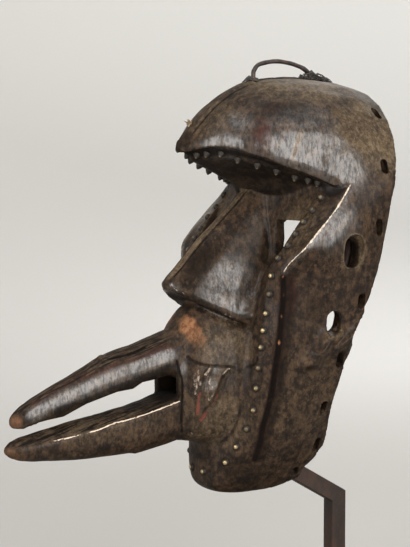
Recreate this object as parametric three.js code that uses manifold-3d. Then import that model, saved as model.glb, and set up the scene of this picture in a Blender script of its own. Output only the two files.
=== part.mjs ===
// A carved wooden face mask with a deep overhanging brow, a long wedge nose and an open two-part
// beak, studded with small tacks, with a wire loop on its crown, held up on a bent steel stand.
// Millimetres, +Z up, the face looks along -Y, and the middle plane is x = 0.
// The finished group stands on z = 0 with its origin under the middle of the stand's foot.
import * as THREE from "three";
import { mergeVertices } from "three/addons/utils/BufferGeometryUtils.js";
import Module from "manifold-3d";

const wasm = await Module();
wasm.setup();

// The mask has a frame of its own: z = 0 at the tip of the nose, y = 0 just behind the chin's front.
// These two lengths place that frame over the middle of the foot.
const MASK_LIFT = 240;
const MASK_SHIFT = -58;

const BACK = 118;
const GAP = 0.3;

const BROW_BAND = { halfWidth: 6, rise: 1.8, start: -18.6, end: 33 };
const EYE = { inner: 25, outer: 55, top: 35, bottom: 9 };
const MOUTH = { halfWidth: 12, top: -65, bottom: -76, front: -31, back: 40 };

const TACK = { radius: 2, faceHeight: 1.7, browHeight: 2.6, sides: 6 };

const WIRE = { radius: 1.4, hole: 1.95, frontFoot: 36.5, backFoot: 82.5 };

const BAR = { width: 11, thickness: 11, y: 103.4 };
const FORK = { radius: 3, height: -6, y: 47, halfWidth: 61 };
const FOOT = { x: 160, y: 190, thickness: 10, bevel: 1.5 };

const woodMaterial = new THREE.MeshStandardMaterial({ color: 0x3a2f28, roughness: 0.5, metalness: 0 });
const tackMaterial = new THREE.MeshStandardMaterial({ color: 0x8a7444, roughness: 0.4, metalness: 0.9 });
const wireMaterial = new THREE.MeshStandardMaterial({ color: 0x40332f, roughness: 0.45, metalness: 0.7 });
const fibreMaterial = new THREE.MeshStandardMaterial({ color: 0x191a14, roughness: 0.9, metalness: 0 });
const steelMaterial = new THREE.MeshStandardMaterial({ color: 0x3b302b, roughness: 0.55, metalness: 0.6 });

const vec = (x, y, z) => new THREE.Vector3(x, y, z);

// A closed three.js geometry as a manifold-3d solid, turned face out if it came inside out.
function solid(geometry) {
  const bare = new THREE.BufferGeometry().setAttribute("position", geometry.getAttribute("position"));
  bare.setIndex(geometry.index);
  const merged = mergeVertices(bare, 1e-4);
  const triVerts = new Uint32Array(merged.index.array);
  const build = () =>
    new wasm.Manifold(new wasm.Mesh({ numProp: 3, vertProperties: merged.attributes.position.array, triVerts }));
  const made = build();
  if (made.volume() > 0) return made;
  for (let i = 0; i < triVerts.length; i += 3) {
    [triVerts[i + 1], triVerts[i + 2]] = [triVerts[i + 2], triVerts[i + 1]];
  }
  return build();
}

// A solid back as a three.js geometry.
function geometryOf(made) {
  const mesh = made.getMesh();
  const geometry = new THREE.BufferGeometry();
  geometry.setAttribute("position", new THREE.BufferAttribute(new Float32Array(mesh.vertProperties), 3));
  geometry.setIndex(new THREE.BufferAttribute(new Uint32Array(mesh.triVerts), 1));
  geometry.computeVertexNormals();
  return geometry;
}

// A solid skinned over rings of points, with as many points in each; smooth curves run through the
// matching points of all rings, cut into `steps` pieces between one ring and the next.
function loft(rings, steps = 1) {
  const count = rings[0].length;
  const spans = (rings.length - 1) * steps;
  const columns = rings[0].map((_, i) => new THREE.CatmullRomCurve3(rings.map((ring) => ring[i]), false, "centripetal"));
  const positions = [];
  for (let k = 0; k <= spans; k++) {
    columns.forEach((column) => positions.push(...column.getPoint(k / spans).toArray()));
  }
  const index = [];
  for (let k = 0; k < spans; k++) {
    for (let i = 0; i < count; i++) {
      const a = k * count + i;
      const b = k * count + ((i + 1) % count);
      index.push(a, b, b + count, a, b + count, a + count);
    }
  }
  [0, spans].forEach((k, end) => {
    const middle = vec(0, 0, 0);
    for (let i = 0; i < count; i++) middle.add(vec().fromArray(positions, 3 * (k * count + i)));
    const centre = positions.length / 3;
    positions.push(...middle.divideScalar(count).toArray());
    for (let i = 0; i < count; i++) {
      const a = k * count + i;
      const b = k * count + ((i + 1) % count);
      index.push(...(end ? [a, b, centre] : [b, a, centre]));
    }
  });
  const geometry = new THREE.BufferGeometry();
  geometry.setAttribute("position", new THREE.BufferAttribute(new Float32Array(positions), 3));
  geometry.setIndex(index);
  return solid(geometry);
}

// A full ring from the points of its +X half, whose first and last points lie on the middle plane.
const mirrored = (half) => [...half, ...half.slice(1, -1).reverse().map((p) => vec(-p.x, p.y, p.z))];

// A profile in the middle plane, given as [y, z] pairs, made `width` thick across it.
function plate(profile, width) {
  const shape = new THREE.Shape(profile.map(([y, z]) => new THREE.Vector2(y, z)));
  const geometry = new THREE.ExtrudeGeometry(shape, { depth: width, bevelEnabled: false, curveSegments: 6 });
  geometry.translate(0, 0, -width / 2);
  geometry.applyMatrix4(new THREE.Matrix4().makeBasis(vec(0, 1, 0), vec(0, 0, 1), vec(1, 0, 0)));
  return solid(geometry);
}

// A round rod along a curve.
function rod(points, radius, sides, steps) {
  const circle = new THREE.Shape().absarc(0, 0, radius, 0, 2 * Math.PI);
  const path = new THREE.CatmullRomCurve3(points, false, "centripetal");
  const geometry = new THREE.ExtrudeGeometry(circle, { steps, extrudePath: path, curveSegments: sides, bevelEnabled: false });
  return solid(geometry);
}

// An oblong drill along an axis: two half rounds with straight sides between them.
function slot(place, axis, width, height, depth) {
  const r = width / 2;
  const shape = new THREE.Shape();
  shape.absarc(0, height / 2 - r, r, 0, Math.PI);
  shape.absarc(0, r - height / 2, r, Math.PI, 2 * Math.PI);
  const geometry = new THREE.ExtrudeGeometry(shape, { depth, bevelEnabled: false, curveSegments: 3 });
  geometry.translate(0, 0, -depth / 2);
  const z = axis.clone().normalize();
  const x = vec(0, 0, 1).cross(z).normalize().negate();
  geometry.applyMatrix4(new THREE.Matrix4().makeBasis(x, z.clone().cross(x), z).setPosition(place));
  return solid(geometry);
}

const bothSides = (make) => make(1).add(make(-1));

// The head below the brow. Each row is one level: its height, the front at the middle, the hollow
// beside the nose, the foot and the edge of the studded band, the cheek's crest, and the rim.
const FACE_LEVELS = [
  [-143.8, [0, 10], [4, 10.5], [7, 12], [9, 15], [11, 20], [12, 58]],
  [-141.5, [0, 0.5], [6, 1], [11, 3], [14, 7.5], [17, 16], [18, 58]],
  [-137, [0, -4.5], [8, -4], [14.5, -1.5], [18.5, 4.5], [22, 17], [23, 58]],
  [-130, [0, -6], [9.5, -5], [16.5, -2.5], [22, 4], [27, 18.5], [28, 59]],
  [-121, [0, -5.5], [11, -4.5], [18.5, -2], [26, 4.3], [32, 18.5], [33.5, 62]],
  [-109, [0, -4.5], [13, -3.5], [22.5, 0], [31, 5.8], [38, 18], [40.5, 63]],
  [-95, [0, -3], [15, -2], [27, 3], [36, 8], [42.5, 17], [47, 60]],
  [-79, [0, 0], [17, 1], [31, 5], [41, 9.5], [48.5, 17.6], [54.5, 62.5]],
  [-60, [0, 5], [19, 6], [34, 8], [45, 11], [53.5, 18.2], [62, 66]],
  [-37, [0, 14], [21, 15], [37, 13], [48.5, 12.8], [58, 19], [69, 72]],
  [-14, [0, 23], [23, 23], [40, 18], [50.5, 14.3], [60.5, 19.7], [74, 78]],
  [2, [0, 28], [25, 29], [44, 28], [51.5, 15.5], [63.5, 18.6], [77.5, 81]],
  [10, [0, 31], [25, 36.5], [47, 38], [52.5, 18.5], [69.5, 20.4], [78.5, 82.5]],
  [18, [0, 31], [25, 38], [50, 40], [54.5, 24.5], [75.8, 26], [79.6, 83.8]],
  [34.5, [0, 31], [25, 38.5], [54, 41], [56.5, 36], [76.8, 41.8], [80.6, 86.5]],
  [47, [0, 31], [25, 41], [54, 48], [57, 47.5], [75.6, 53.6], [80.8, 88]],
  [58, [0, 31], [25, 44], [57, 53], [62, 54.5], [74, 62.4], [80.2, 90]],
  [68, [0, 33], [25, 46], [57, 56], [64, 62], [72, 68], [77, 92]],
];
const FLANK_BULGE = 3;

function faceBlock() {
  return loft(
    FACE_LEVELS.map(([z, ...stations]) => {
      const [front, beside, foot, edge, crest, rim] = stations.map(([x, y]) => vec(x, y, z));
      const flank = [0.3, 0.6].map((t) =>
        crest.clone().lerp(rim, t).add(vec(FLANK_BULGE * Math.sin(Math.PI * t) * Math.min(1, crest.x / 40, (74 - z) / 40), 0, 0)),
      );
      const inner = foot.clone().lerp(beside, 0.5);
      const band = edge.clone().lerp(crest, 0.5);
      return mirrored([front, beside, inner, foot, edge, band, crest, ...flank, rim, vec(rim.x, BACK, z), vec(0, BACK, z)]);
    }),
    2,
  );
}

// The brow and crown, cut across at steps from the brow's point to the back: half width, height of
// the brow's edge, the underside as [x, height] from the middle to the row of tacks, height of the
// crown, and how full its arch is.
const CROWN_STEPS = [
  [-20, 1.2, 79.6, [[0, 79.2], [0.4, 79.2], [0.7, 79.3], [1, 79.4]], 82, 1.8],
  [-18.2, 4.2, 79.4, [[0, 78.2], [1.5, 78.3], [2.5, 78.5], [3.4, 78.8]], 85, 1.7],
  [-14.8, 7.2, 80, [[0, 76.8], [2.5, 76.9], [4.5, 77.3], [6, 78]], 88.2, 1.6],
  [-10.5, 12, 81.3, [[0, 74.4], [4, 75], [7, 76.2], [9.6, 77.6]], 94, 1.6],
  [-5, 22, 82.6, [[0, 71.4], [7, 73], [13, 75.2], [18, 77.4]], 99.5, 1.6],
  [-0.8, 30.3, 81.8, [[0, 69.3], [10, 71.8], [18, 74], [24, 76.2]], 103.8, 1.65],
  [4.7, 38, 80.3, [[0, 66.8], [12, 69.8], [22, 72.2], [30, 74.2]], 108.6, 1.7],
  [10.1, 43.5, 77.8, [[0, 64.2], [13, 67.2], [24, 70], [33, 72.4]], 112.8, 1.8],
  [18.1, 49.5, 75, [[0, 60.6], [14, 64.2], [26, 67.6], [38, 70.1]], 117.6, 1.9],
  [29.4, 55, 69.7, [[0, 54.5], [8, 55.5], [19, 61.5], [44, 66.2]], 122.4, 2],
  [38.5, 58.5, 66.6, [[0, 51.5], [24, 52.5], [35, 60.6], [47, 63.2]], 125.4, 2.1],
  [47.3, 62.5, 63, [[0, 50], [37, 51], [46, 58.6], [52, 60]], 126.7, 2.15],
  [55.9, 68, 58, [[0, 48], [46, 49], [54, 55.5], [59, 57]], 127.2, 2.2],
  [63, 73, 50, [[0, 43], [40, 44], [55, 47], [64, 49]], 127.5, 2.2],
  [74, 77, 40, [[0, 38], [35, 38.2], [55, 38.8], [68, 39.4]], 127.5, 2.2],
  [88, 80, 34, [[0, 34], [36, 34], [58, 34], [70, 34]], 126.5, 2.2],
  [102, 81.5, 30, [[0, 30], [37, 30], [59, 30], [72, 30]], 123, 2.2],
  [BACK, 82, 30, [[0, 30], [37, 30], [59, 30], [72, 30]], 118, 2.2],
];
const BROW_ROLL = 5;

// Points of an arch from its springing at (halfWidth, low) to its crown at (0, high).
function arch(halfWidth, low, high, y, power, count) {
  return Array.from({ length: count + 1 }, (_, i) => {
    const angle = (i / count) * (Math.PI / 2);
    const x = halfWidth * Math.cos(angle) ** (2 / power);
    return vec(x, y, low + (high - low) * Math.sin(angle) ** (2 / power));
  });
}

function crown() {
  return loft(
    CROWN_STEPS.map(([y, halfWidth, edge, underside, top, fullness]) => {
      const roll = Math.min(BROW_ROLL, (top - edge) * 0.3);
      return mirrored([
        ...underside.map(([x, z]) => vec(x, y, z)),
        vec(halfWidth * 0.96, y, edge),
        ...arch(halfWidth, edge + roll, top, y, fullness, 8),
      ]);
    }),
    1,
  );
}

// The height of the crown over the middle plane at a depth y.
function crownTop(y) {
  const after = Math.max(1, CROWN_STEPS.findIndex((step) => step[0] >= y));
  const [a, b] = [CROWN_STEPS[after - 1], CROWN_STEPS[after]];
  return THREE.MathUtils.mapLinear(y, a[0], b[0], a[4], b[4]);
}

// The raised band down the middle of the forehead.
function browBand() {
  const count = 10;
  const rings = Array.from({ length: count + 1 }, (_, i) => {
    const y = THREE.MathUtils.lerp(BROW_BAND.start, BROW_BAND.end, i / count);
    const z = crownTop(y);
    const { halfWidth, rise, start } = BROW_BAND;
    const w = Math.min(halfWidth, 3.5 + (y - start) * 0.6);
    return mirrored([vec(0, y, z - 5), vec(w, y, z - 5), vec(w, y, z + rise * 0.2), vec(w * 0.7, y, z + rise), vec(0, y, z + rise * 1.1)]);
  });
  return loft(rings);
}

// The side profile that trims head and crown: the leaning rim, and the chin's rounded underside.
const SIDE_PROFILE = [
  [-200, 160], [115, 160], [104, 124], [103.5, 107], [100.3, 90], [95.6, 70], [89.6, 48], [85.2, 26], [81.4, 4],
  [77.5, -15], [72, -34], [67, -54], [64.5, -77], [65, -94], [66.5, -105], [66.8, -113], [63.5, -121.5], [58, -128],
  [57, -135.5], [46, -139.8], [34, -143], [15, -144.5], [-200, -144.5],
];

// The nose, from its root under the brow to its flat underside: the ridge's middle and edge, the
// swell of its side, and the wing where it meets the cheek.
const NOSE_RINGS = [
  [[0, 36, 62], [4, 36.8, 61.5], [8, 38, 60.5], [12, 41, 59]],
  [[0, 18.5, 43], [4.8, 19.3, 42.6], [11, 24.5, 40.5], [17, 36.5, 37]],
  [[0, -4.5, 23], [5.4, -3.6, 22.4], [14, 6, 18], [23.5, 29, 11]],
  [[0, -20.5, 5.5], [5.8, -19.4, 4.8], [18, -5, -3], [29, 25, -14]],
  [[0, -30, -5], [6, -28.8, -5.8], [21.5, -11, -16], [32, 20, -29]],
  [[0, -30.2, -8.5], [5.6, -28, -9.8], [20.5, -9, -20.5], [30, 18.5, -33]],
];

function nose() {
  return loft(
    NOSE_RINGS.map((ring) => {
      const [ridge, edge, side, wing] = ring.map(([x, y, z]) => vec(x, y, z));
      const root = vec(wing.x * 0.8, 48, wing.z - 2);
      return mirrored([ridge, edge, edge.clone().lerp(side, 0.5).add(vec(0.8, -0.6, 0)), side, side.clone().lerp(wing, 0.5).add(vec(1.2, -1, 0)), wing, root, vec(0, 48, wing.z - 2)]);
    }),
    2,
  );
}

// The muzzle, cut across at steps towards the front: half width, top and bottom.
const MUZZLE_STEPS = [
  [34, 33, -26, -104],
  [14, 33, -20, -106.5],
  [2, 32.5, -16, -108],
  [-8, 31, -16.5, -108.5],
  [-15, 28.5, -20.5, -108],
  [-20.5, 25.5, -26, -107],
  [-25, 22, -32, -105.5],
  [-28, 18, -38, -103],
];

function muzzle() {
  const power = 2.7;
  return loft(
    MUZZLE_STEPS.map(([y, halfWidth, top, bottom]) => {
      const middle = (top + bottom) / 2 - 8;
      const upper = arch(halfWidth, middle, top, y, 2.2, 6).reverse();
      const lower = arch(halfWidth, middle, bottom, y, power, 5).slice(1);
      return mirrored([...upper, ...lower]);
    }),
  );
}

// The two halves of the beak, cut across at steps towards the tip: half width, then three heights.
const UPPER_BEAK = [
  [-8, 17, -27, -62],
  [-26, 16.5, -33.8, -62.8],
  [-40, 15.5, -38.6, -64.8],
  [-55, 14.4, -43.6, -68.4],
  [-68, 13.2, -46.8, -72],
  [-77, 12.4, -50, -74.8],
  [-86, 11.7, -55, -77.6],
  [-97, 10.8, -60.6, -81],
  [-110, 9.7, -66.6, -85.2],
  [-122, 8.8, -72.2, -88.8],
  [-130, 7.6, -76.4, -90.6],
  [-135.5, 5, -80.8, -90.2],
  [-137.5, 2, -83.5, -88.2],
];
const LOWER_BEAK = [
  [-8, 19, -71, -74, -106],
  [-28, 18.4, -75.2, -78.3, -108],
  [-40, 17.4, -78.6, -82.3, -110.5],
  [-55, 16, -82, -86.4, -112.4],
  [-70, 14.3, -84.2, -89.8, -113],
  [-83, 12.7, -86.4, -92.8, -113.3],
  [-97, 11.2, -88.8, -96, -113.3],
  [-110, 10, -91.2, -98.6, -112.8],
  [-122, 9, -93.6, -100.4, -111.9],
  [-132, 7.8, -95.8, -101.6, -110.4],
  [-138, 5.4, -98.4, -102.4, -108.2],
  [-140.5, 2.4, -101, -103.2, -105.8],
];

function upperBeak() {
  return loft(
    UPPER_BEAK.map(([y, w, top, bottom]) => {
      const h = top - bottom;
      const side = arch(w, bottom + 0.38 * h, top, y, 2.1, 4).reverse();
      return mirrored([...side, vec(w * 0.93, y, bottom + 0.14 * h), vec(w * 0.72, y, bottom + 0.02 * h), vec(0, y, bottom)]);
    }),
  );
}

function lowerBeak() {
  return loft(
    LOWER_BEAK.map(([y, w, crownHeight, edge, bottom]) => {
      const h = edge - bottom;
      const roof = [0, 0.5, 0.9].map((t) => vec(w * t, y, crownHeight + (edge - crownHeight) * t ** 1.6));
      const side = arch(w, edge - 0.25 * h, bottom, y, 2.2, 4);
      return mirrored([...roof, vec(w, y, edge - 0.04 * h), ...side]);
    }),
  );
}

// The hollow behind the face, level by level: half width and depth of its front, and the rounding
// that carries it into the side walls.
const HOLLOW_LEVELS = [
  [-137.6, 12, 20, 10],
  [-128, 19, 13, 12],
  [-112, 28, 11.5, 13],
  [-97, 36, 11.5, 14],
  [-80, 43.5, 13, 14],
  [-60, 50.5, 16.5, 14],
  [-35, 57.5, 24.5, 14],
  [-12, 62, 33, 14],
  [10, 67.5, 43.5, 14],
  [35, 71, 46, 16],
  [56, 71, 49, 20],
  [66, 70, 52, 22],
];

// The hollow of the crown, step by step towards the back: half width, floor and ceiling.
const CROWN_HOLLOW = [
  [7, 14, 84, 98],
  [12, 26, 78, 104],
  [20, 36, 72, 110],
  [31, 44, 67.5, 114.5],
  [44, 51, 62, 117.5],
  [60, 62, 50, 118.5],
  [80, 69, 42, 118],
  [102, 71.5, 40, 114],
  [BACK + 6, 72, 40, 109],
];

function hollow() {
  const lower = loft(
    HOLLOW_LEVELS.map(([z, halfWidth, front, round]) => {
      const corner = arch(halfWidth, front + round, front, 0, 2.4, 6).map((p) => vec(p.x, p.z, z)).reverse();
      return mirrored([...corner, vec(halfWidth + 1, 80, z), vec(halfWidth + 1, BACK + 6, z), vec(0, BACK + 6, z)]);
    }),
  );
  const upper = loft(
    CROWN_HOLLOW.map(([y, halfWidth, low, high]) =>
      mirrored([vec(0, y, low), vec(halfWidth * 0.75, y, low + 1), ...arch(halfWidth, low + 6, high, y, 2.4, 7)]),
    ),
    1,
  );
  return lower.add(upper);
}

// The way in from the open beak to the hollow.
function mouth() {
  const { halfWidth, top, bottom, front, back } = MOUTH;
  return plate([[front, bottom], [back, bottom], [back, top], [front, top]], 2 * halfWidth);
}

function eyeHole(side) {
  const { inner, outer, top, bottom } = EYE;
  const outline = [[inner + 1, bottom], [outer - 5, bottom], [outer, top - 8], [outer, top], [inner, top], [inner, bottom + 3]];
  const shape = new THREE.Shape(outline.map(([x, z]) => new THREE.Vector2(side * x, z)));
  const geometry = new THREE.ExtrudeGeometry(shape, { depth: 40, bevelEnabled: false });
  geometry.applyMatrix4(new THREE.Matrix4().makeBasis(vec(1, 0, 0), vec(0, 0, 1), vec(0, -1, 0)).setPosition(0, 60, 0));
  return solid(geometry);
}

// Holes through the side walls: [x, y, z], the outward lean of the drill, width and height.
const SIDE_HOLES = [
  { place: [80, 61.6, 16], axis: [1, -0.08, 0], width: 12.5, height: 20 },
  { place: [74, 53.8, -30], axis: [1, -0.1, -0.15], width: 10.5, height: 17 },
  { place: [60, 95.5, 109.5], axis: [0.62, 0, 0.78], width: 5, height: 10 },
  { place: [80, 87.3, 70], axis: [1, 0, 0.15], width: 5, height: 10 },
  { place: [80, 80.4, 31], axis: [1, 0, 0], width: 5, height: 10.5 },
  { place: [75, 72.4, -16], axis: [1, 0, -0.15], width: 5, height: 10 },
  { place: [66, 62.6, -54.5], axis: [1, 0, -0.25], width: 5, height: 10 },
  { place: [53, 58.2, -86], axis: [1, 0, -0.5], width: 5, height: 10 },
  { place: [39, 61.4, -112], axis: [1, 0, -0.8], width: 5, height: 12 },
  { place: [25, 52, -126.5], axis: [0.8, 0, -1], width: 5, height: 8 },
];
const HOLE_DEPTH = 40;

function sideHoles() {
  const drills = SIDE_HOLES.flatMap(({ place: [x, y, z], axis: [ax, ay, az], width, height }) =>
    [1, -1].map((side) => slot(vec(side * x, y, z), vec(side * ax, ay, az), width, height, HOLE_DEPTH)),
  );
  return wasm.Manifold.union(drills);
}

const wireHole = (y) => rod([vec(0, y, 105), vec(0, y, 150)], WIRE.hole, 4, 1);

function maskSolid() {
  const head = wasm.Manifold.union([faceBlock(), crown(), browBand()]).intersect(plate(SIDE_PROFILE, 200));
  const carved = wasm.Manifold.union([head, nose(), muzzle(), upperBeak(), lowerBeak()]);
  const cuts = [hollow(), mouth(), bothSides(eyeHole), sideHoles(), wireHole(WIRE.frontFoot), wireHole(WIRE.backFoot)];
  return carved.subtract(wasm.Manifold.union(cuts));
}

// The wire loop over the crown, whose two ends go down through the wood.
function loopSolid() {
  const { frontFoot: a, backFoot: b, radius } = WIRE;
  const route = [[a, 112], [a, 122], [a, 129], [a + 0.6, 132.2], [a + 4.5, 136.2], [a + 16, 138.7], [a + 27, 138.1], [a + 34.5, 136.5], [a + 40.5, 134], [b, 129], [b, 122], [b, 112]];
  return rod(route.map(([y, z]) => vec(0, y, z)), radius, 4, 22);
}

const mask = maskSolid();
const loop = loopSolid();

// What is left of the lashing behind the loop: a flat dark knot that lies on the crown.
function lashingSolid() {
  const steps = [[75, 1.5, 0.8], [78.5, 3.6, 2.2], [83, 4.6, 3.6], [88, 4.6, 3.3], [93, 4.2, 3], [96.5, 2.8, 2.2], [98.5, 1, 1]];
  const knot = loft(
    steps.map(([y, w, h]) => {
      const z = crownTop(y);
      return mirrored([vec(0, y, z - 6), vec(w, y, z - 6), vec(w, y, z + h * 0.4), vec(w * 0.6, y, z + h * 0.9), vec(0, y, z + h)]);
    }),
  );
  const aroundWire = rod([vec(0, WIRE.backFoot, 110), vec(0, WIRE.backFoot, 136)], WIRE.hole + 0.2, 4, 1);
  const whole = crown().translate(0, 0, GAP);
  return knot.subtract(whole).subtract(aroundWire).subtract(loop);
}

// A flat bar along a route of [y, z] points in the middle plane, with mitred corners.
function barProfile(route, thickness) {
  const points = route.map(([y, z]) => new THREE.Vector2(y, z));
  const offset = (sign) =>
    points.map((p, i) => {
      const before = points[i].clone().sub(points[Math.max(i - 1, 0)]).normalize();
      const after = points[Math.min(i + 1, points.length - 1)].clone().sub(points[i]).normalize();
      const along = before.clone().add(after).normalize();
      const reference = before.lengthSq() > 0 ? before : after;
      const stretch = 1 / Math.max(0.2, along.dot(reference));
      return [p.x - along.y * sign * (thickness / 2) * stretch, p.y + along.x * sign * (thickness / 2) * stretch];
    });
  return [...offset(1), ...offset(-1).reverse()];
}

function barSolid() {
  const foot = FOOT.thickness - MASK_LIFT + GAP;
  const route = [[BAR.y, foot], [BAR.y, -156.3], [FORK.y, -123.6], [FORK.y, FORK.height - FORK.radius - GAP]];
  return plate(barProfile(route, BAR.thickness), BAR.width);
}

// The fork that the bar carries: it spreads behind the face and rises to the crown's ceiling.
function forkSolid() {
  const { radius, height, y, halfWidth } = FORK;
  const half = [[0, y, height], [28, y + 1, height], [48, y + 6, height], [halfWidth - 3, y + 17, height + 6], [halfWidth, y + 24, height + 22], [halfWidth, y + 24, 50], [halfWidth - 7, y + 19, 80], [halfWidth - 13, y + 14, 106]];
  const route = [...half.slice(1).reverse().map(([x, yy, z]) => vec(-x, yy, z)), ...half.map(([x, yy, z]) => vec(x, yy, z))];
  return rod(route, radius, 4, 24).subtract(mask.translate(0, 0, -GAP));
}

function footSolid() {
  const { x, y, thickness, bevel } = FOOT;
  const shape = new THREE.Shape();
  const [a, b] = [x / 2 - bevel, y / 2 - bevel];
  shape.moveTo(-a, -b).lineTo(a, -b).lineTo(a, b).lineTo(-a, b).closePath();
  const options = { depth: thickness - 2 * bevel, bevelThickness: bevel, bevelSize: bevel, bevelSegments: 1 };
  const geometry = new THREE.ExtrudeGeometry(shape, options);
  geometry.translate(0, 0, bevel);
  return solid(geometry);
}

// A tack's domed head, its flat side down on z = 0.
function tackGeometry(height) {
  const { radius, sides } = TACK;
  const profile = [[0, 0], [radius, 0], [radius * 0.8, height * 0.62], [0, height]].map(([r, z]) => new THREE.Vector2(r, z));
  return geometryOf(solid(new THREE.LatheGeometry(profile, sides).rotateX(Math.PI / 2)));
}

// The tacks of the face, from the temple down the band and round to the chin, and of the brow's
// underside, from its point to the temple: [x, y, z] near the surface, and the way they face.
const FACE_TACKS = [
  [60, 49.6], [60, 41.6], [60, 34.5], [59.5, 26.8], [59, 19.7], [57, 12], [55, 1.3], [53.5, -10.2], [51.5, -22.5],
  [50, -33.3], [48.5, -44.1], [46.5, -57.2], [44.5, -70.3], [41.5, -84.6], [36.5, -97.3], [30.5, -109.5],
  [23.5, -120.1], [8, -128],
];
const BROW_TACKS = [
  [6.5, -9.5, 76.5], [13, -6.8, 75.9], [22, -2, 75.6], [30, 6.3, 73.2], [36.8, 17, 70.2], [42.6, 27.7, 66.5],
  [46.3, 39.4, 62.8], [51.2, 45.5, 60], [55.5, 50, 58.5],
];

// Where a ray meets the mask, and the way its surface faces there.
const caster = new THREE.Raycaster();
const target = new THREE.Mesh(geometryOf(mask), new THREE.MeshBasicMaterial({ side: THREE.DoubleSide }));
function landing(from, direction) {
  caster.set(from, direction.clone().normalize());
  const hit = caster.intersectObject(target)[0];
  return { point: hit.point, normal: hit.face.normal.clone() };
}

function tackMesh(name, height, from, direction) {
  const { point, normal } = landing(from, direction);
  const mesh = new THREE.Mesh(tackGeometry(height), tackMaterial);
  mesh.name = name;
  mesh.quaternion.setFromUnitVectors(vec(0, 0, 1), normal);
  mesh.position.copy(point).addScaledVector(normal, GAP + 0.15);
  return mesh;
}

function tackMeshes() {
  const pairs = (row, label, height, ray) =>
    row.flatMap(([x, ...rest], i) =>
      [1, -1].map((side) => tackMesh(`${label}_tack_${side > 0 ? "left" : "right"}_${i + 1}`, height, ...ray(side * x, ...rest))),
    );
  return [
    ...pairs(FACE_TACKS, "face", TACK.faceHeight, (x, z) => [vec(x, -80, z), vec(0, 1, 0)]),
    ...pairs(BROW_TACKS, "brow", TACK.browHeight, (x, y, z) => [vec(x, y - 5, z - 7), vec(0, 5, 7)]),
  ];
}

function named(name, made, material) {
  const mesh = new THREE.Mesh(geometryOf(made), material);
  mesh.name = name;
  return mesh;
}

const onStand = new THREE.Group();
onStand.position.set(0, MASK_SHIFT, MASK_LIFT);
onStand.add(
  named("mask", mask, woodMaterial),
  named("top_loop", loop, wireMaterial),
  named("loop_lashing", lashingSolid(), fibreMaterial),
  named("stand_bar", barSolid(), steelMaterial),
  named("stand_fork", forkSolid(), steelMaterial),
  ...tackMeshes(),
);

const part = new THREE.Group();
part.add(onStand, named("stand_foot", footSolid(), steelMaterial));
export default part;
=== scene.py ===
"""A carved wooden face mask with a deep brow, a long nose and an open beak, on its steel stand.

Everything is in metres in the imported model's frame, unless a name ends in _mm. Places on the mask
are given in millimetres in the mask's own frame: x = 0 is its middle plane, z = 0 the tip of its
nose, and its face looks along -Y.
"""
import logging
import math
from dataclasses import dataclass, field
from enum import Enum
from typing import Sequence

import bmesh
import bpy
import numpy as np
from mathutils import Matrix, Vector
from mathutils.bvhtree import BVHTree
from mathutils.kdtree import KDTree


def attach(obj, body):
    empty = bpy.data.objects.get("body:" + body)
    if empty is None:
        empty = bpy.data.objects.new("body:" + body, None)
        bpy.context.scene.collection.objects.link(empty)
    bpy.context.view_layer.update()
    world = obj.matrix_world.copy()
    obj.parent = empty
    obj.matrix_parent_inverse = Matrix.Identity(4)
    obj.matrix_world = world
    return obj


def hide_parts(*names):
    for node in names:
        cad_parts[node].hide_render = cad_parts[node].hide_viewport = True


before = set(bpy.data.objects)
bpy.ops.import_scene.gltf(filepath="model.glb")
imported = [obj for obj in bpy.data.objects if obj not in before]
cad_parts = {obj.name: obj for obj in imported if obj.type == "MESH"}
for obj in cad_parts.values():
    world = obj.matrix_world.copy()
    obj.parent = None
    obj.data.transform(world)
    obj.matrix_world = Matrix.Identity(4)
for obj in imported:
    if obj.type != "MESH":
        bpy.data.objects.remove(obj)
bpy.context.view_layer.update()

log = logging.getLogger("mask")

MM = 0.001
MERGE_DISTANCE = 1e-6
# Farther off than anything on the mask, in millimetres
FAR = 1e3
MASK_ORIGIN = Vector((0.0, -0.058, 0.240))
IMAGE_WIDTH, IMAGE_HEIGHT = 410, 547

Point = tuple[float, float, float]
Colour = tuple[float, float, float]
Strand = tuple[Sequence[Vector], Sequence[float]]


def at(x: float, y: float, z: float) -> Vector:
    """A place on the mask, from its own millimetres."""
    return MASK_ORIGIN + Vector((x, y, z)) * MM


def to_own_mm(places: np.ndarray) -> np.ndarray:
    """Places in the model's frame as millimetres in the mask's own frame."""
    return (places - np.array(MASK_ORIGIN)) / MM


def mirrored(own: np.ndarray) -> np.ndarray:
    """Lays both sides of the mask on the left one.

    Args:
        own: Places, in the mask's own millimetres.

    Returns:
        The places, none of them on the right side.
    """
    mirror = own.copy()
    mirror[:, 0] = np.abs(mirror[:, 0])
    return mirror


class Side(Enum):
    """Which side of the mask a mark is on."""

    BOTH = 0
    LEFT = 1

    def places(self, own: np.ndarray, mirror: np.ndarray) -> np.ndarray:
        """What such a mark is measured from: both sides laid on the left one, or places as they are."""
        return mirror if self is Side.BOTH else own


# Shader maths and nodes


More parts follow.
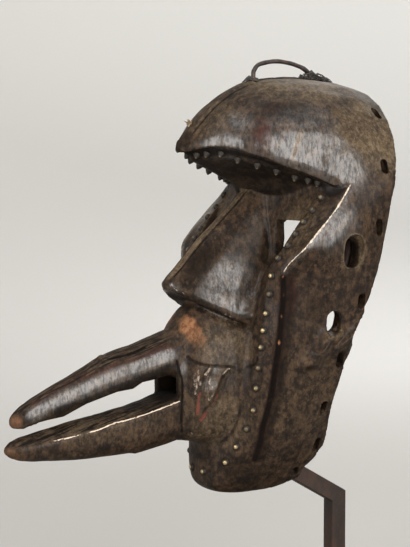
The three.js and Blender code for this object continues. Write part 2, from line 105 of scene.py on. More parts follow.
class Value:
    """A shader socket that takes part in Python arithmetic; each step adds its Math node."""

    def __init__(self, shader: "Shader", socket: bpy.types.NodeSocket) -> None:
        """Keeps the socket with the shader that it belongs to."""
        self.shader = shader
        self.socket = socket

    def maths(
        self,
        operation: str,
        first: "Value | float",
        second: "Value | float",
        clamp: bool = False,
    ) -> "Value":
        """Adds one Math node.

        Args:
            operation: The node's operation.
            first: Its first value.
            second: Its second value.
            clamp: Whether the result is kept between 0 and 1.

        Returns:
            The node's result.
        """
        settings = {"operation": operation, "use_clamp": clamp}
        node = self.shader.node("ShaderNodeMath", settings, {0: first, 1: second})
        return Value(self.shader, node.outputs[0])

    def __add__(self, other: "Value | float") -> "Value":
        """This value and another."""
        return self.maths("ADD", self, other)

    __radd__ = __add__

    def __sub__(self, other: "Value | float") -> "Value":
        """This value less another."""
        return self.maths("SUBTRACT", self, other)

    def __rsub__(self, other: "Value | float") -> "Value":
        """Another value less this one."""
        return self.maths("SUBTRACT", other, self)

    def __mul__(self, other: "Value | float") -> "Value":
        """This value times another."""
        return self.maths("MULTIPLY", self, other)

    __rmul__ = __mul__

    def clamped(self) -> "Value":
        """This value kept between 0 and 1."""
        return self.maths("MULTIPLY", self, 1.0, clamp=True)

    def between(self, low: float, high: float) -> "Value":
        """A smooth step of this value.

        Args:
            low: Where the step is still 0.
            high: Where it has reached 1; less than low for a step that falls.

        Returns:
            The step, from 0 to 1.
        """
        settings = {"interpolation_type": "SMOOTHSTEP"}
        if low > high:
            return 1.0 - self.between(high, low)
        inputs = {"Value": self, "From Min": low, "From Max": high, "To Min": 0.0, "To Max": 1.0}
        node = self.shader.node("ShaderNodeMapRange", settings, inputs)
        return Value(self.shader, node.outputs["Result"])


class Shader:
    """A node material in the making."""

    def __init__(self, name: str) -> None:
        """Starts an empty node material.

        Args:
            name: Its name.
        """
        self.material = bpy.data.materials.new(name)
        self.material.use_nodes = True
        self.tree = self.material.node_tree
        self.tree.nodes.clear()
        self.coordinates = self.node("ShaderNodeTexCoord", {}, {}).outputs["Object"]

    def node(
        self,
        kind: str,
        settings: dict[str, object],
        inputs: dict[str | int, object],
    ) -> bpy.types.Node:
        """Adds a node.

        Args:
            kind: The node's type.
            settings: Its own settings, which are set first.
            inputs: A value, a socket or a Value for each input that isn't left as it is.

        Returns:
            The node.
        """
        made = self.tree.nodes.new(kind)
        for name, setting in settings.items():
            setattr(made, name, setting)
        for name, given in inputs.items():
            if isinstance(given, Value):
                given = given.socket
            if isinstance(given, bpy.types.NodeSocket):
                self.tree.links.new(given, made.inputs[name])
            else:
                made.inputs[name].default_value = given
        return made

    def attribute(self, name: str) -> Value:
        """The mesh's own attribute with this name."""
        settings = {"attribute_name": name, "attribute_type": "GEOMETRY"}
        return Value(self, self.node("ShaderNodeAttribute", settings, {}).outputs["Fac"])

    def noise(
        self,
        size_mm: float,
        stretch: Point = (1, 1, 1),
        place: float = 0.0,
        detail: float = 2.0,
        ragged: float = 0.5,
        tilt: float = 0.0,
    ) -> Value:
        """A noise over the object.

        Args:
            size_mm: The size of its patches.
            stretch: How much longer the patches are along each axis.
            place: Where in the noise the object lies, so that two noises differ.
            detail: How many finer layers it has.
            ragged: How strong the finer layers are.
            tilt: How far the stretch is turned about the X axis, in degrees.

        Returns:
            The noise, about 0.5 on average.
        """
        frame_of_patches = {
            "Vector": self.coordinates,
            "Location": (place, place * 0.7, place * 1.3),
            "Rotation": (math.radians(tilt), 0, 0),
            "Scale": stretch,
        }
        mapping = self.node("ShaderNodeMapping", {"vector_type": "TEXTURE"}, frame_of_patches)
        inputs = {
            "Vector": mapping.outputs[0],
            "Scale": 1 / (size_mm * MM),
            "Detail": detail,
            "Roughness": ragged,
        }
        node = self.node("ShaderNodeTexNoise", {"noise_dimensions": "3D"}, inputs)
        return Value(self, node.outputs[0])

    def reach(self, along: Point) -> Value:
        """How far a place is from the object's origin.

        Args:
            along: The direction that it is measured in.

        Returns:
            The distance, less than 0 on the other side.
        """
        inputs = {0: self.coordinates, 1: along}
        node = self.node("ShaderNodeVectorMath", {"operation": "DOT_PRODUCT"}, inputs)
        return Value(self, node.outputs["Value"])

    def mix(self, share: Value | float, first: object, second: object) -> bpy.types.NodeSocket:
        """Mixes two colours.

        Args:
            share: The second colour's share.
            first: The colour where the share is 0.
            second: The colour where it is 1.

        Returns:
            The mixed colour's socket.
        """
        colours = [(*c, 1.0) if isinstance(c, tuple) else c for c in (first, second)]
        inputs = {0: share, 6: colours[0], 7: colours[1]}
        return self.node("ShaderNodeMix", {"data_type": "RGBA", "clamp_factor": True}, inputs).outputs[2]

    def bump(self, height: Value, depth_mm: float, over: object = None) -> bpy.types.NodeSocket:
        """Fine relief.

        Args:
            height: The relief's height, from 0 to 1.
            depth_mm: How deep it is between 0 and 1.
            over: The relief that this one lies on, if any.

        Returns:
            The normal's socket.
        """
        inputs = {"Height": height, "Distance": depth_mm * MM, "Strength": 1.0}
        if over is not None:
            inputs["Normal"] = over
        return self.node("ShaderNodeBump", {}, inputs).outputs[0]

    def finish(self, inputs: dict[str, object]) -> bpy.types.Material:
        """Closes the material with a Principled shader.

        Args:
            inputs: The shader's inputs.

        Returns:
            The material.
        """
        principled = self.node("ShaderNodeBsdfPrincipled", {}, inputs)
        self.node("ShaderNodeOutputMaterial", {}, {"Surface": principled.outputs[0]})
        return self.material


# Finishes


@dataclass(frozen=True)
class WoodPatina:
    """Old carved wood: dark and glossy where hands and oil rubbed it, matt olive brown elsewhere.

    The mask's mesh says where: polish for rubbed gloss, olive for the matt brown, bare for worn wood,
    pale for worn pale wood and for painted highlights along edges, russet and pigment for reddish
    stains, dirt for dark patina in the cuts and for painted shade under overhangs, in
    recesses and round the tacks, inside for the hollow, strokes for the blade's marks and weather for
    the grey grain on top of the beak.
    """

    black: Colour = (0.0060, 0.0038, 0.0027)
    brown: Colour = (0.046, 0.028, 0.016)
    umber: Colour = (0.076, 0.044, 0.023)
    olive: Colour = (0.085, 0.059, 0.034)
    ash: Colour = (0.15, 0.113, 0.074)
    russet: Colour = (0.036, 0.0095, 0.0055)
    bare: Colour = (0.25, 0.118, 0.056)
    bare_dark: Colour = (0.125, 0.052, 0.023)
    pale: Colour = (0.50, 0.41, 0.32)
    pigment: Colour = (0.14, 0.038, 0.025)
    soot_and_shade: Colour = (0.0032, 0.0022, 0.0016)
    inner: Colour = (0.020, 0.0115, 0.0065)

    def material(self) -> bpy.types.Material:
        """Builds the material.

        Returns:
            The material, which reads the masks that the mask's mesh carries.
        """
        s = Shader("wood_patina")
        polish, olive, bare = s.attribute("polish"), s.attribute("olive"), s.attribute("bare")
        pale, russet, pigment = s.attribute("pale"), s.attribute("russet"), s.attribute("pigment")
        dirt, inside, strokes = s.attribute("dirt"), s.attribute("inside"), s.attribute("strokes")
        weather = s.attribute("weather")

        # Patterns, from broad patches to fine grain
        clouds = s.noise(24, detail=4.0, ragged=0.6)
        mottle = s.noise(6, place=3.1, detail=4.0, ragged=0.65)
        flecks = s.noise(2.2, stretch=(1, 1, 1.5), place=7.7, detail=3.0, ragged=0.65)
        specks = s.noise(3.4, stretch=(1, 1, 1.4), place=12.3, detail=5.0, ragged=0.75)
        dust = s.noise(0.9, place=9.1, detail=2.0)
        grain = s.noise(1.1, stretch=(1, 1, 8), place=1.7, detail=3.0, ragged=0.6)
        streaks = s.noise(3.2, stretch=(1, 1, 7), place=5.3, detail=3.0, ragged=0.6)
        scratches = s.noise(1.5, stretch=(1, 1, 5), place=15.1, detail=4.0, ragged=0.75)
        scuffs = s.noise(1.7, stretch=(1, 1, 2.4), place=4.4, detail=3.0, ragged=0.7)
        fibres = s.noise(1.6, stretch=(1, 14, 1), place=6.1, detail=3.0, ragged=0.65, tilt=19)

        # Colour, from the dark ground to the dark patina and painted shade on top
        base = s.mix(mottle.between(0.36, 0.66), self.black, self.brown)
        patches = 0.15 + 0.55 * clouds.between(0.35, 0.65)
        base = s.mix(flecks.between(0.44, 0.68) * patches, base, self.umber)
        cloudy = 0.45 + 0.9 * clouds.between(0.3, 0.7)
        olive_share = olive * cloudy * (0.55 + 0.8 * mottle.between(0.3, 0.6))
        base = s.mix(olive_share.clamped(), base, self.olive)
        base = s.mix(olive * flecks.between(0.46, 0.68) * 0.6, base, self.ash)
        base = s.mix((russet * (0.3 + streaks.between(0.35, 0.65))).clamped(), base, self.russet)
        base = s.mix(streaks.between(0.50, 0.70) * 0.5 * (1.0 - 0.5 * olive), base, self.black)
        base = s.mix(specks.between(0.58, 0.36) * 0.6, base, self.black)
        base = s.mix(grain.between(0.54, 0.72) * 0.5, base, self.black)
        base = s.mix(dust.between(0.52, 0.70) * 0.4, base, self.black)
        base = s.mix(weather * 0.3, base, self.black)
        base = s.mix(weather * fibres.between(0.48, 0.36) * 0.2, base, self.ash)
        base = s.mix(weather * fibres.between(0.50, 0.60) * 0.95, base, self.soot_and_shade)
        base = s.mix(inside * (0.6 + 0.4 * streaks), base, self.inner)
        base = s.mix((pigment * 1.6 - flecks * 1.5).between(0.0, 0.6) * 0.85, base, self.pigment)
        worn = s.mix(specks.between(0.40, 0.60), self.bare_dark, self.bare)
        base = s.mix((bare * 1.5 - mottle * 0.7 - flecks * 0.25).between(0.0, 0.9), base, worn)
        # Pale: worn pale wood, and painted highlights on the crest, beak, nose and leaf tips
        base = s.mix((pale * 1.6 - flecks * 1.1).between(0.0, 0.5), base, self.pale)
        # Dark patina in the cuts, and painted shade under overhangs, in recesses and round the tacks
        base = s.mix((dirt * (0.75 + 0.4 * flecks)).clamped(), base, self.soot_and_shade)

        # Gloss where the wood is rubbed, broken by scratches and dry specks
        rub = (polish * (0.6 + 0.5 * streaks.between(0.3, 0.6)) * (1.0 - 0.8 * weather)).clamped()
        roughness = 0.78 - 0.40 * rub + 0.22 * (flecks - 0.5) + 0.1 * (dust - 0.5) + 0.2 * dirt
        broken = (0.30 + 0.95 * scratches.between(0.36, 0.60)) * (1.0 - 0.45 * specks.between(0.52, 0.38))
        gloss = (0.10 + rub * broken) * (1.0 - 0.8 * weather)
        coat = (gloss * (1.0 - dirt) * (1.0 - inside) * (1.0 - bare)).clamped()

        # Fine relief: scuffs, grain, and the deeper grain of weathered wood
        normal = s.bump(scuffs * (0.45 + 0.75 * strokes), 0.36)
        normal = s.bump(0.6 * grain + 0.4 * flecks, 0.26, over=normal)
        normal = s.bump(weather * fibres, 0.9, over=normal)
        return s.finish({
            "Base Color": base,
            "Roughness": roughness,
            "Coat Weight": coat,
            "Coat Roughness": 0.28,
            "Coat IOR": 1.62,
            "Specular IOR Level": 0.09,
            "Normal": normal,
        })


@dataclass(frozen=True)
class TackBrass:
    """Old brass tack heads: rubbed brass with a painted glint on top of the dome, almost black round the
    rim.
    """

    rubbed_brass_and_glint: Colour = (0.42, 0.33, 0.18)
    dull: Colour = (0.085, 0.062, 0.034)
    dark: Colour = (0.013, 0.0095, 0.0065)

    def material(self) -> bpy.types.Material:
        """Builds the material.

        Returns:
            The material. The attribute "dome" runs from 0 at a head's rim to 1 on top, and "tarnish" is
            how dull the whole head is.
        """
        s = Shader("tack_brass")
        dome, tarnish = s.attribute("dome"), s.attribute("tarnish")
        spots = s.noise(1.2, place=2.0, detail=3.0, ragged=0.6)
        # The top of each dome: rubbed brass, painted lighter as a glint
        worn = (dome.between(0.6, 1.0) * (1.2 - 1.2 * tarnish) + 0.8 * (spots - 0.5)).clamped()
        colour = s.mix(worn.between(0.08, 0.40), self.dark, self.dull)
        colour = s.mix(worn.between(0.45, 0.95), colour, self.rubbed_brass_and_glint)
        return s.finish({
            "Base Color": colour,
            "Metallic": 0.2 + 0.7 * worn.between(0.3, 0.8),
            "Roughness": 0.60 - 0.26 * worn + 0.2 * (spots - 0.5),
            "Specular IOR Level": 0.35,
            "Normal": s.bump(spots, 0.22),
        })


@dataclass(frozen=True)
class WroughtIron:
    """Dark hand-drawn iron wire with a little rust."""

    iron: Colour = (0.022, 0.017, 0.0155)
    rust: Colour = (0.062, 0.030, 0.019)
    rubbed: Colour = (0.14, 0.12, 0.11)

    def material(self) -> bpy.types.Material:
        """Builds the material.

        Returns:
            The material.
        """
        s = Shader("wrought_iron")
        patches, pits = s.noise(4.5, detail=4.0, ragged=0.65), s.noise(0.8, place=4.0, detail=3.0)
        colour = s.mix(patches.between(0.45, 0.7), self.iron, self.rust)
        colour = s.mix(pits.between(0.55, 0.8) * 0.6, colour, self.rubbed)
        return s.finish({
            "Base Color": colour,
            "Metallic": 0.55 - 0.35 * patches.between(0.45, 0.7),
            "Roughness": 0.46 + 0.3 * (pits - 0.5),
            "Normal": s.bump(0.6 * patches + 0.4 * pits, 0.4),
        })


@dataclass(frozen=True)
class PlantFibre:
    """Matted plant fibre, dark with age, or the cream fluff that is caught on the forehead's band."""

    name: str = "plant_fibre"
    dark: Colour = (0.008, 0.007, 0.005)
    light: Colour = (0.050, 0.038, 0.025)

    def material(self) -> bpy.types.Material:
        """Builds the material.

        Returns:
            The material.
        """
        s = Shader(self.name)
        lumps, hairs = s.noise(2.2, detail=3.0), s.noise(0.35, stretch=(1, 5, 1), place=6.0)
        colour = s.mix(lumps.between(0.4, 0.72) * (0.4 + hairs), self.dark, self.light)
        return s.finish({
            "Base Color": colour,
            "Roughness": 0.88 + 0.1 * (hairs - 0.5),
            "Sheen Weight": 0.1,
            "Normal": s.bump(0.5 * hairs + 0.5 * lumps, 0.3),
        })


@dataclass(frozen=True)
class StandSteel:
    """Flat bar steel with a satin dark brown patina that is uneven and reddish in places."""

    dark: Colour = (0.018, 0.0135, 0.011)
    brown: Colour = (0.040, 0.0235, 0.017)
    red: Colour = (0.050, 0.022, 0.015)

    def material(self) -> bpy.types.Material:
        """Builds the material.

        Returns:
            The material.
        """
        s = Shader("stand_steel")
        clouds = s.noise(16, stretch=(1, 1, 1.8), detail=4.0, ragged=0.6)
        spots, fine = s.noise(2.6, place=2.5, detail=3.0), s.noise(0.6, place=8.0, detail=2.0)
        colour = s.mix(clouds.between(0.35, 0.62), self.dark, self.brown)
        colour = s.mix(spots.between(0.5, 0.72) * 0.7, colour, self.red)
        colour = s.mix(fine.between(0.5, 0.8) * 0.3, colour, self.dark)
        return s.finish({
            "Base Color": colour,
            "Metallic": 0.1 + 0.1 * clouds,
            "Roughness": 0.62 + 0.25 * (spots - 0.5) + 0.1 * (fine - 0.5),
            "Specular IOR Level": 0.3,
            "Normal": s.bump(0.5 * spots + 0.5 * fine, 0.06),
        })


@dataclass(frozen=True)
class StudioPaper:
    """The seamless pale paper, greyer on the floor than on the wall, and lighter to the right.

    It glows faintly, more with height, because the lights are aimed at the mask and not at it.
    """

    floor: Colour = (0.375, 0.366, 0.352)
    wall: Colour = (0.83, 0.825, 0.81)
    wall_shade: Colour = (0.66, 0.64, 0.62)
    glow: Colour = (0.20, 0.20, 0.19)
    no_glow: Colour = (0.0, 0.0, 0.0)
    rightwards: Point = (0.5, 0.866, 0.0)
    backwards: Point = (-0.866, 0.5, 0.0)
    upwards: Point = (0.0, 0.0, 1.0)

    def material(self) -> bpy.types.Material:
        """Builds the material.

        Returns:
            The material.
        """
        s = Shader("studio_paper")
        tooth = s.noise(3.0, detail=2.0)
        across = s.reach(self.rightwards).between(-1.6, 0.9)
        away = s.reach(self.backwards).between(0.15, 2.2)
        height = s.reach(self.upwards).between(0.0, 0.8)
        shade = s.mix(away, self.floor, s.mix(across, self.wall_shade, self.wall))
        return s.finish({
            "Base Color": shade,
            "Roughness": 0.95,
            "Specular IOR Level": 0.15,
            "Emission Color": s.mix(height, self.no_glow, self.glow),
            "Emission Strength": 1.0,
            "Normal": s.bump(tooth, 0.05),
        })


# Mesh helpers


def rows_of(collection: bpy.types.bpy_prop_collection, name: str, columns: int, kind: type) -> np.ndarray:
    """One property of everything in a collection.

    Args:
        collection: The collection, such as a mesh's vertices.
        name: The property's name.
        columns: How many numbers it has.
        kind: What kind of number.

    Returns:
        Its numbers, one row for each thing.
    """
    flat = np.empty(len(collection) * columns, kind)
    collection.foreach_get(name, flat)
    return flat.reshape(-1, columns)


def positions(mesh: bpy.types.Mesh) -> np.ndarray:
    """The mesh's vertices as rows of numbers."""
    return rows_of(mesh.vertices, "co", 3, np.float32).astype(float)


def move_to(mesh: bpy.types.Mesh, places: np.ndarray) -> None:
    """Moves the mesh's vertices to these places."""
    mesh.vertices.foreach_set("co", places.astype(np.float32).ravel())
    mesh.update()


def normals(mesh: bpy.types.Mesh) -> np.ndarray:
    """The mesh's vertex normals as rows of numbers."""
    return rows_of(mesh.vertices, "normal", 3, np.float32).astype(float)


def edge_ends(mesh: bpy.types.Mesh) -> np.ndarray:
    """The two vertices of every edge."""
    return rows_of(mesh.edges, "vertices", 2, np.int32)


def eased(values: np.ndarray, low: float, high: float) -> np.ndarray:
    """A smooth step from 0 at low to 1 at high."""
    t = np.clip((values - low) / (high - low), 0, 1)
    return t * t * (3 - 2 * t)


def ripple(places_mm: np.ndarray, size_mm: float, seed: int, stretch: Point = (1, 1, 1)) -> np.ndarray:
    """A soft unevenness over the surface, about -1 to 1, the same on every run.

    Args:
        places_mm: Where it is wanted.
        size_mm: The size of its swells.
        seed: Which of many such patterns.
        stretch: How much longer the swells are along each axis.

    Returns:
        Its height at each place.
    """
    draw = np.random.default_rng(seed)
    waves = draw.normal(size=(14, 3))
    waves *= (draw.uniform(0.7, 1.3, 14) / np.linalg.norm(waves, axis=1))[:, None]
    phase = draw.uniform(0, 2 * math.pi, 14)
    scaled = places_mm / (np.array(stretch) * size_mm) * math.pi
    return np.sin(scaled @ waves.T + phase).sum(axis=1) / math.sqrt(14)


def smooth_line(points: Sequence[Point], pieces: int = 6) -> np.ndarray:
    """A smooth curve through points.

    Args:
        points: The points.
        pieces: How many straight pieces run from one point to the next.

    Returns:
        The curve, as a finer row of points.
    """
    p = np.array(points, float)
    p = np.vstack([2 * p[0] - p[1], p, 2 * p[-1] - p[-2]])
    t = np.linspace(0, 1, pieces, endpoint=False)[:, None]
    runs = []
    for a, b, c, d in zip(p, p[1:], p[2:], p[3:]):
        bend = 2 * a - 5 * b + 4 * c - d
        twist = 3 * b - a - 3 * c + d
        runs.append(0.5 * (2 * b + (c - a) * t + bend * t**2 + twist * t**3))
    return np.vstack([*runs, p[-2:-1]])


def from_line(places_mm: np.ndarray, line: np.ndarray) -> tuple[np.ndarray, np.ndarray]:
    """How far each place is from a line, and how far along the line its nearest point is.

    Args:
        places_mm: The places.
        line: The line's points.

    Returns:
        The distances in millimetres, and the share of the line's length, from 0 to 1.
    """
    reach = 12.0
    near = np.full(len(places_mm), FAR)
    along = np.zeros(len(places_mm))
    inside = np.all((places_mm > line.min(axis=0) - reach) & (places_mm < line.max(axis=0) + reach), axis=1)
    close = np.flatnonzero(inside)
    here = places_mm[close]
    best, share = np.full(len(close), FAR), np.zeros(len(close))
    lengths = np.linalg.norm(np.diff(line, axis=0), axis=1)
    start = 0.0
    for a, b, length in zip(line, line[1:], lengths):
        t = np.clip((here - a) @ (b - a) / max(length * length, 1e-9), 0, 1)
        distance = np.linalg.norm(here - (a + t[:, None] * (b - a)), axis=1)
        nearer = distance < best
        best[nearer] = distance[nearer]
        share[nearer] = (start + t[nearer] * length) / lengths.sum()
        start += length
    near[close], along[close] = best, share
    return near, along


def drop_below(route: Sequence[Point], places_mm: np.ndarray) -> np.ndarray:
    """How far places are below a route that runs from front to back, in millimetres."""
    line = np.array(sorted(route, key=lambda point: point[1]), float)
    return np.interp(places_mm[:, 1], line[:, 1], line[:, 2]) - places_mm[:, 2]


def tree_of(places: Sequence[Vector] | np.ndarray) -> KDTree:
    """A search tree of places.

    Args:
        places: The places.

    Returns:
        The tree, which finds the nearest of them.
    """
    tree = KDTree(len(places))
    for i, place in enumerate(places):
        tree.insert(place, i)
    tree.balance()
    return tree


def triangle_count(mesh: bpy.types.Mesh) -> int:
    """How many triangles the mesh's faces come to."""
    return sum(len(face.vertices) - 2 for face in mesh.polygons)


def new_piece(name: str, mesh: bpy.types.Mesh, replaced: Sequence[str] = ()) -> bpy.types.Object:
    """Shows a mesh as a piece of the object.

    Args:
        name: The piece's name.
        mesh: Its mesh, already in place.
        replaced: The CAD nodes that it stands for.

    Returns:
        The piece.
    """
    mesh.name = name
    piece = linked(name, mesh)
    mesh.shade_smooth()
    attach(piece, "root")
    if replaced:
        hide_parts(*replaced)
    log.info("%s: %d vertices, %d faces", name, len(mesh.vertices), len(mesh.polygons))
    return piece


def cad_copy(node: str) -> bmesh.types.BMesh:
    """A copy of a CAD node's mesh with its loose triangles joined.

    Args:
        node: The node's name.

    Returns:
        The copy.
    """
    bm = bmesh.new()
    bm.from_mesh(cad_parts[node].data)
    bmesh.ops.remove_doubles(bm, verts=bm.verts, dist=MERGE_DISTANCE)
    return bm


def mesh_of(bm: bmesh.types.BMesh, name: str) -> bpy.types.Mesh:
    """A new mesh from a bmesh, which is used up.

    Args:
        bm: The bmesh.
        name: The mesh's name.

    Returns:
        The mesh.
    """
    mesh = bpy.data.meshes.new(name)
    bm.to_mesh(mesh)
    bm.free()
    return mesh


def turned(profile: Sequence[tuple[float, float]], steps: int) -> bmesh.types.BMesh:
    """A shape turned round the Z axis.

    Args:
        profile: Its outline, as radius and height.
        steps: How many faces it has all round.

    Returns:
        The shape, with its poles closed.
    """
    bm = bmesh.new()
    line = [bm.verts.new((radius, 0, height)) for radius, height in profile]
    edges = [bm.edges.new(pair) for pair in zip(line, line[1:])]
    bmesh.ops.spin(
        bm,
        geom=line + edges,
        cent=(0, 0, 0),
        axis=(0, 0, 1),
        angle=2 * math.pi,
        steps=steps,
        use_merge=True,
    )
    bmesh.ops.remove_doubles(bm, verts=bm.verts, dist=MERGE_DISTANCE)
    bmesh.ops.recalc_face_normals(bm, faces=bm.faces)
    return bm


def linked(name: str, data: bpy.types.ID) -> bpy.types.Object:
    """A new object in the scene.

    Args:
        name: Its name.
        data: Its mesh, curve, light or camera.

    Returns:
        The object.
    """
    made = bpy.data.objects.new(name, data)
    bpy.context.scene.collection.objects.link(made)
    return made


def result_of(carrier: bpy.types.Object) -> bpy.types.Mesh:
    """The mesh that an object's curve or modifiers give; the object is used up.

    Args:
        carrier: The object.

    Returns:
        The mesh.
    """
    evaluated = carrier.evaluated_get(bpy.context.evaluated_depsgraph_get())
    mesh = bpy.data.meshes.new_from_object(evaluated)
    bpy.data.objects.remove(carrier)
    return mesh


def modified(mesh: bpy.types.Mesh, kind: str, settings: dict[str, object]) -> bpy.types.Mesh:
    """A mesh with one modifier applied.

    Args:
        mesh: The mesh, which is used up.
        kind: The modifier's type.
        settings: Its settings.

    Returns:
        The new mesh.
    """
    carrier = linked("carrier", mesh)
    modifier = carrier.modifiers.new("step", kind)
    for name, setting in settings.items():
        setattr(modifier, name, setting)
    result = result_of(carrier)
    bpy.data.meshes.remove(mesh)
    return result


def strands(routes: Sequence[Strand], sides: int) -> bpy.types.Mesh:
    """Round strands along routes.

    Args:
        routes: For each strand, its points and its radius at each of them.
        sides: How many sides a strand has.

    Returns:
        The mesh.
    """
    curve = bpy.data.curves.new("strands", "CURVE")
    curve.dimensions = "3D"
    curve.bevel_depth = 1.0
    curve.bevel_resolution = max(0, sides // 4 - 1)
    curve.use_fill_caps = True
    for points, radii in routes:
        spline = curve.splines.new("POLY")
        spline.points.add(len(points) - 1)
        for bead, place, radius in zip(spline.points, points, radii):
            bead.co = (*place, 1.0)
            bead.radius = radius
    mesh = result_of(linked("carrier", curve))
    bpy.data.curves.remove(curve)
    mesh.materials.clear()
    return mesh


# The carving


@dataclass(frozen=True)
class Cut:
    """A carved line.

    It has a route, half its width and how much wider it swells in the middle, its depth, and the mask
    and strength of the colour that lies in it.
    """

    route: tuple[Point, ...]
    half_width: float
    depth: float
    colour: str = "dirt"
    strength: float = 0.8
    side: Side = Side.BOTH
    swell: float = 0.0

    def beside(self, own: np.ndarray, mirror: np.ndarray) -> tuple[np.ndarray, np.ndarray, np.ndarray]:
        """Where places lie beside the line.

        Args:
            own: The places, in the mask's own millimetres.
            mirror: The same with both sides laid on the left one.

        Returns:
            How far they are from it, how far along it they are, from 0 to 1, and half its width there.
        """
        distance, along = from_line(self.side.places(own, mirror), smooth_line(self.route))
        return distance, along, self.half_width * (1 + self.swell * np.sin(math.pi * along))


@dataclass(frozen=True)
class Dab:
    """A soft-edged patch of one of the finish's masks, stretched by flat along each axis."""

    mask: str
    place: Point
    radius: float
    strength: float = 1.0
    side: Side = Side.BOTH
    flat: Point = (1, 1, 1)


@dataclass(frozen=True)
class Streak:
    """A soft-edged line of one of the finish's masks, full up to inner and gone at outer."""

    mask: str
    route: tuple[Point, ...]
    inner: float
    outer: float
    strength: float
    side: Side = Side.BOTH


@dataclass(frozen=True)
class Lump:
    """A local rise, or a dent where its height is negative."""

    place: Point
    radius: float
    height: float
    side: Side = Side.BOTH


@dataclass(frozen=True)
class Fold:
    """A low roof-shaped ridge along a route."""

    route: tuple[Point, ...]
    half_width: float
    height: float


@dataclass(frozen=True)
class Fillet:
    """An inner corner of the face, filled up to a plane between two heights.

    The lower height rises or falls by slope with each millimetre away from the middle plane.
    """

    plane: tuple[Point, Point, Point]
    low: float
    high: float
    slope: float = 0.0

    def depth(self, mirror: np.ndarray) -> np.ndarray:
        """How far places are behind the plane.

        Args:
            mirror: The places, both sides laid on the left one.

        Returns:
            The depths in millimetres, and 0 where the corner isn't filled.
        """
        a = np.array(self.plane[0], float)
        behind = -(mirror - a) @ self.facing()
        floor = self.low + self.slope * (mirror[:, 0] - a[0])
        span = eased(mirror[:, 2] - floor, -0.4, 0.8) * (1 - eased(mirror[:, 2], self.high - 5, self.high))
        filled = 0.5 * (behind + np.sqrt(behind**2 + 1.0)) - 0.15
        return np.where((behind > -3) & (behind < 9), filled, 0.0).clip(0) * span

    def facing(self) -> np.ndarray:
        """Which way the plane faces, on the left side.

        Returns:
            A direction of length 1.
        """
        a, b, c = (np.array(point, float) for point in self.plane)
        way = np.cross(b - a, c - a)
        return way / np.linalg.norm(way)


@dataclass(frozen=True)
class Hole:
    """An oblong hole through a side wall, wider by flare at its mouth and narrower by taper inside."""

    place: Point
    axis: Point
    width: float
    height: float
    flare: float = 0.0
    taper: float = 0.0


# Routes of the carved lines, edges and rubbed places on the left side, in the mask's own millimetres
LIP_LINE = (
    (19.5, -24, -50.7), (21.9, -22, -53.2), (24.9, -18.5, -55), (28.2, -13.2, -56.3),
    (30.3, -7.1, -57.1), (31.5, 0.7, -57.6), (33, 8.2, -58.1), (40.7, 9.9, -56.8), (44.7, 11.1, -54.2),
    (45.8, 11.5, -51.4),
)
LEAF_FRONT = (
    (28.7, -12.2, -57.2), (27.9, -15.1, -62.6), (26.8, -17.6, -68), (26.4, -18.9, -73.4),
    (25.6, -19.5, -79.8), (25.1, -19.7, -87.2), (23.5, -19.3, -92.9),
)
LEAF_REAR = (
    (31.5, -0.4, -60.4), (31.3, -3.4, -64.3), (31.3, -6, -70.1), (30.6, -8.2, -75.5),
    (29.4, -10.7, -80.9), (27.6, -14.9, -86.3), (24.9, -17.5, -91.5), (22.7, -18.9, -95.8),
)
PLATE_EDGE = (
    (33.5, 6, -60), (32.6, 6.0, -66), (32.4, 6, -73.6), (34.1, 6.4, -78.9), (34.1, 6.4, -84.4),
    (32.7, 5.8, -90), (30.2, 4.7, -96.7), (26.6, 2.6, -102.6), (22.5, 0.3, -106.3),
    (16.6, -2.1, -108.4), (7, -4, -109.7),
)
MOUTH_CORNER = (
    (16, -29.9, -53.8), (15.9, -28, -60.4), (18.1, -27.4, -65.6), (18.6, -27.3, -71),
    (18.5, -27.6, -78.3), (18.4, -27.8, -85.6), (17.5, -27.4, -92.2), (15.3, -25.9, -99.1),
)
BEAK_CRACK = (
    (2.6, -97.1, -62.2), (3.6, -91.7, -59.8), (2.5, -85.3, -56.3), (1.4, -80.2, -53.2),
    (1.2, -76.7, -51.1), (5.9, -73, -51.3), (7.5, -66.8, -50.2), (8.1, -60.1, -48.7),
    (8.5, -55.3, -47.6), (8, -48.9, -44.9),
)
BEAK_SIDE = (
    (15.4, -36, -51.5), (14.5, -48.3, -55.5), (13.4, -62.9, -60.1), (12.2, -77.2, -64.6),
    (10.9, -91.3, -69.1), (9, -109.8, -74.2), (7.9, -123.6, -80.3),
)
LOWER_EDGE = (
    (6, -122, -99.2), (9.2, -110.1, -98.4), (10.3, -100.9, -96.9), (11.5, -91.8, -95.3),
    (12.5, -82.5, -93.3), (13.1, -72.8, -90.4), (14.4, -63.5, -88.6), (15.3, -53.9, -86.3),
    (16.2, -44.2, -83.7), (17.7, -29, -79.3),
)
NOSE_EDGE = (
    (4.2, 30, 53), (4.4, 16, 40.6), (4.7, 1.7, 27.7), (4.9, -13.2, 12.2), (4.7, -25, -0.4),
)
BRIDGE = tuple((0.0, y - 0.4, z + 0.6) for _, y, z in NOSE_EDGE)
LEAF_TIP_FRONT = ((28.6, -12.6, -58.2), (27.6, -15.2, -62))
LEAF_TIP_REAR = ((31.4, -4.2, -62), (31.6, -0.8, -58.8))
NOSE_LIP = (
    (4, -29.5, -5.2), (7, -27.2, -8), (11, -23.2, -10.6), (15.2, -19, -13.2),
)
NOSE_SCRATCH = ((8.9, -10.4, 10), (12.1, -14.4, 0.3), (15.5, -18.2, -10.3))
BAND_GROOVE = (
    (63.1, 19.6, 0.4), (61.4, 21.2, -11.4), (59.7, 20.8, -24.3), (57.6, 20.3, -40.8),
    (54.4, 19.6, -57.8), (50, 19.4, -74.9), (42.9, 18.3, -94.6), (38.8, 18.6, -104.5),
    (32.3, 18.2, -118.3),
)
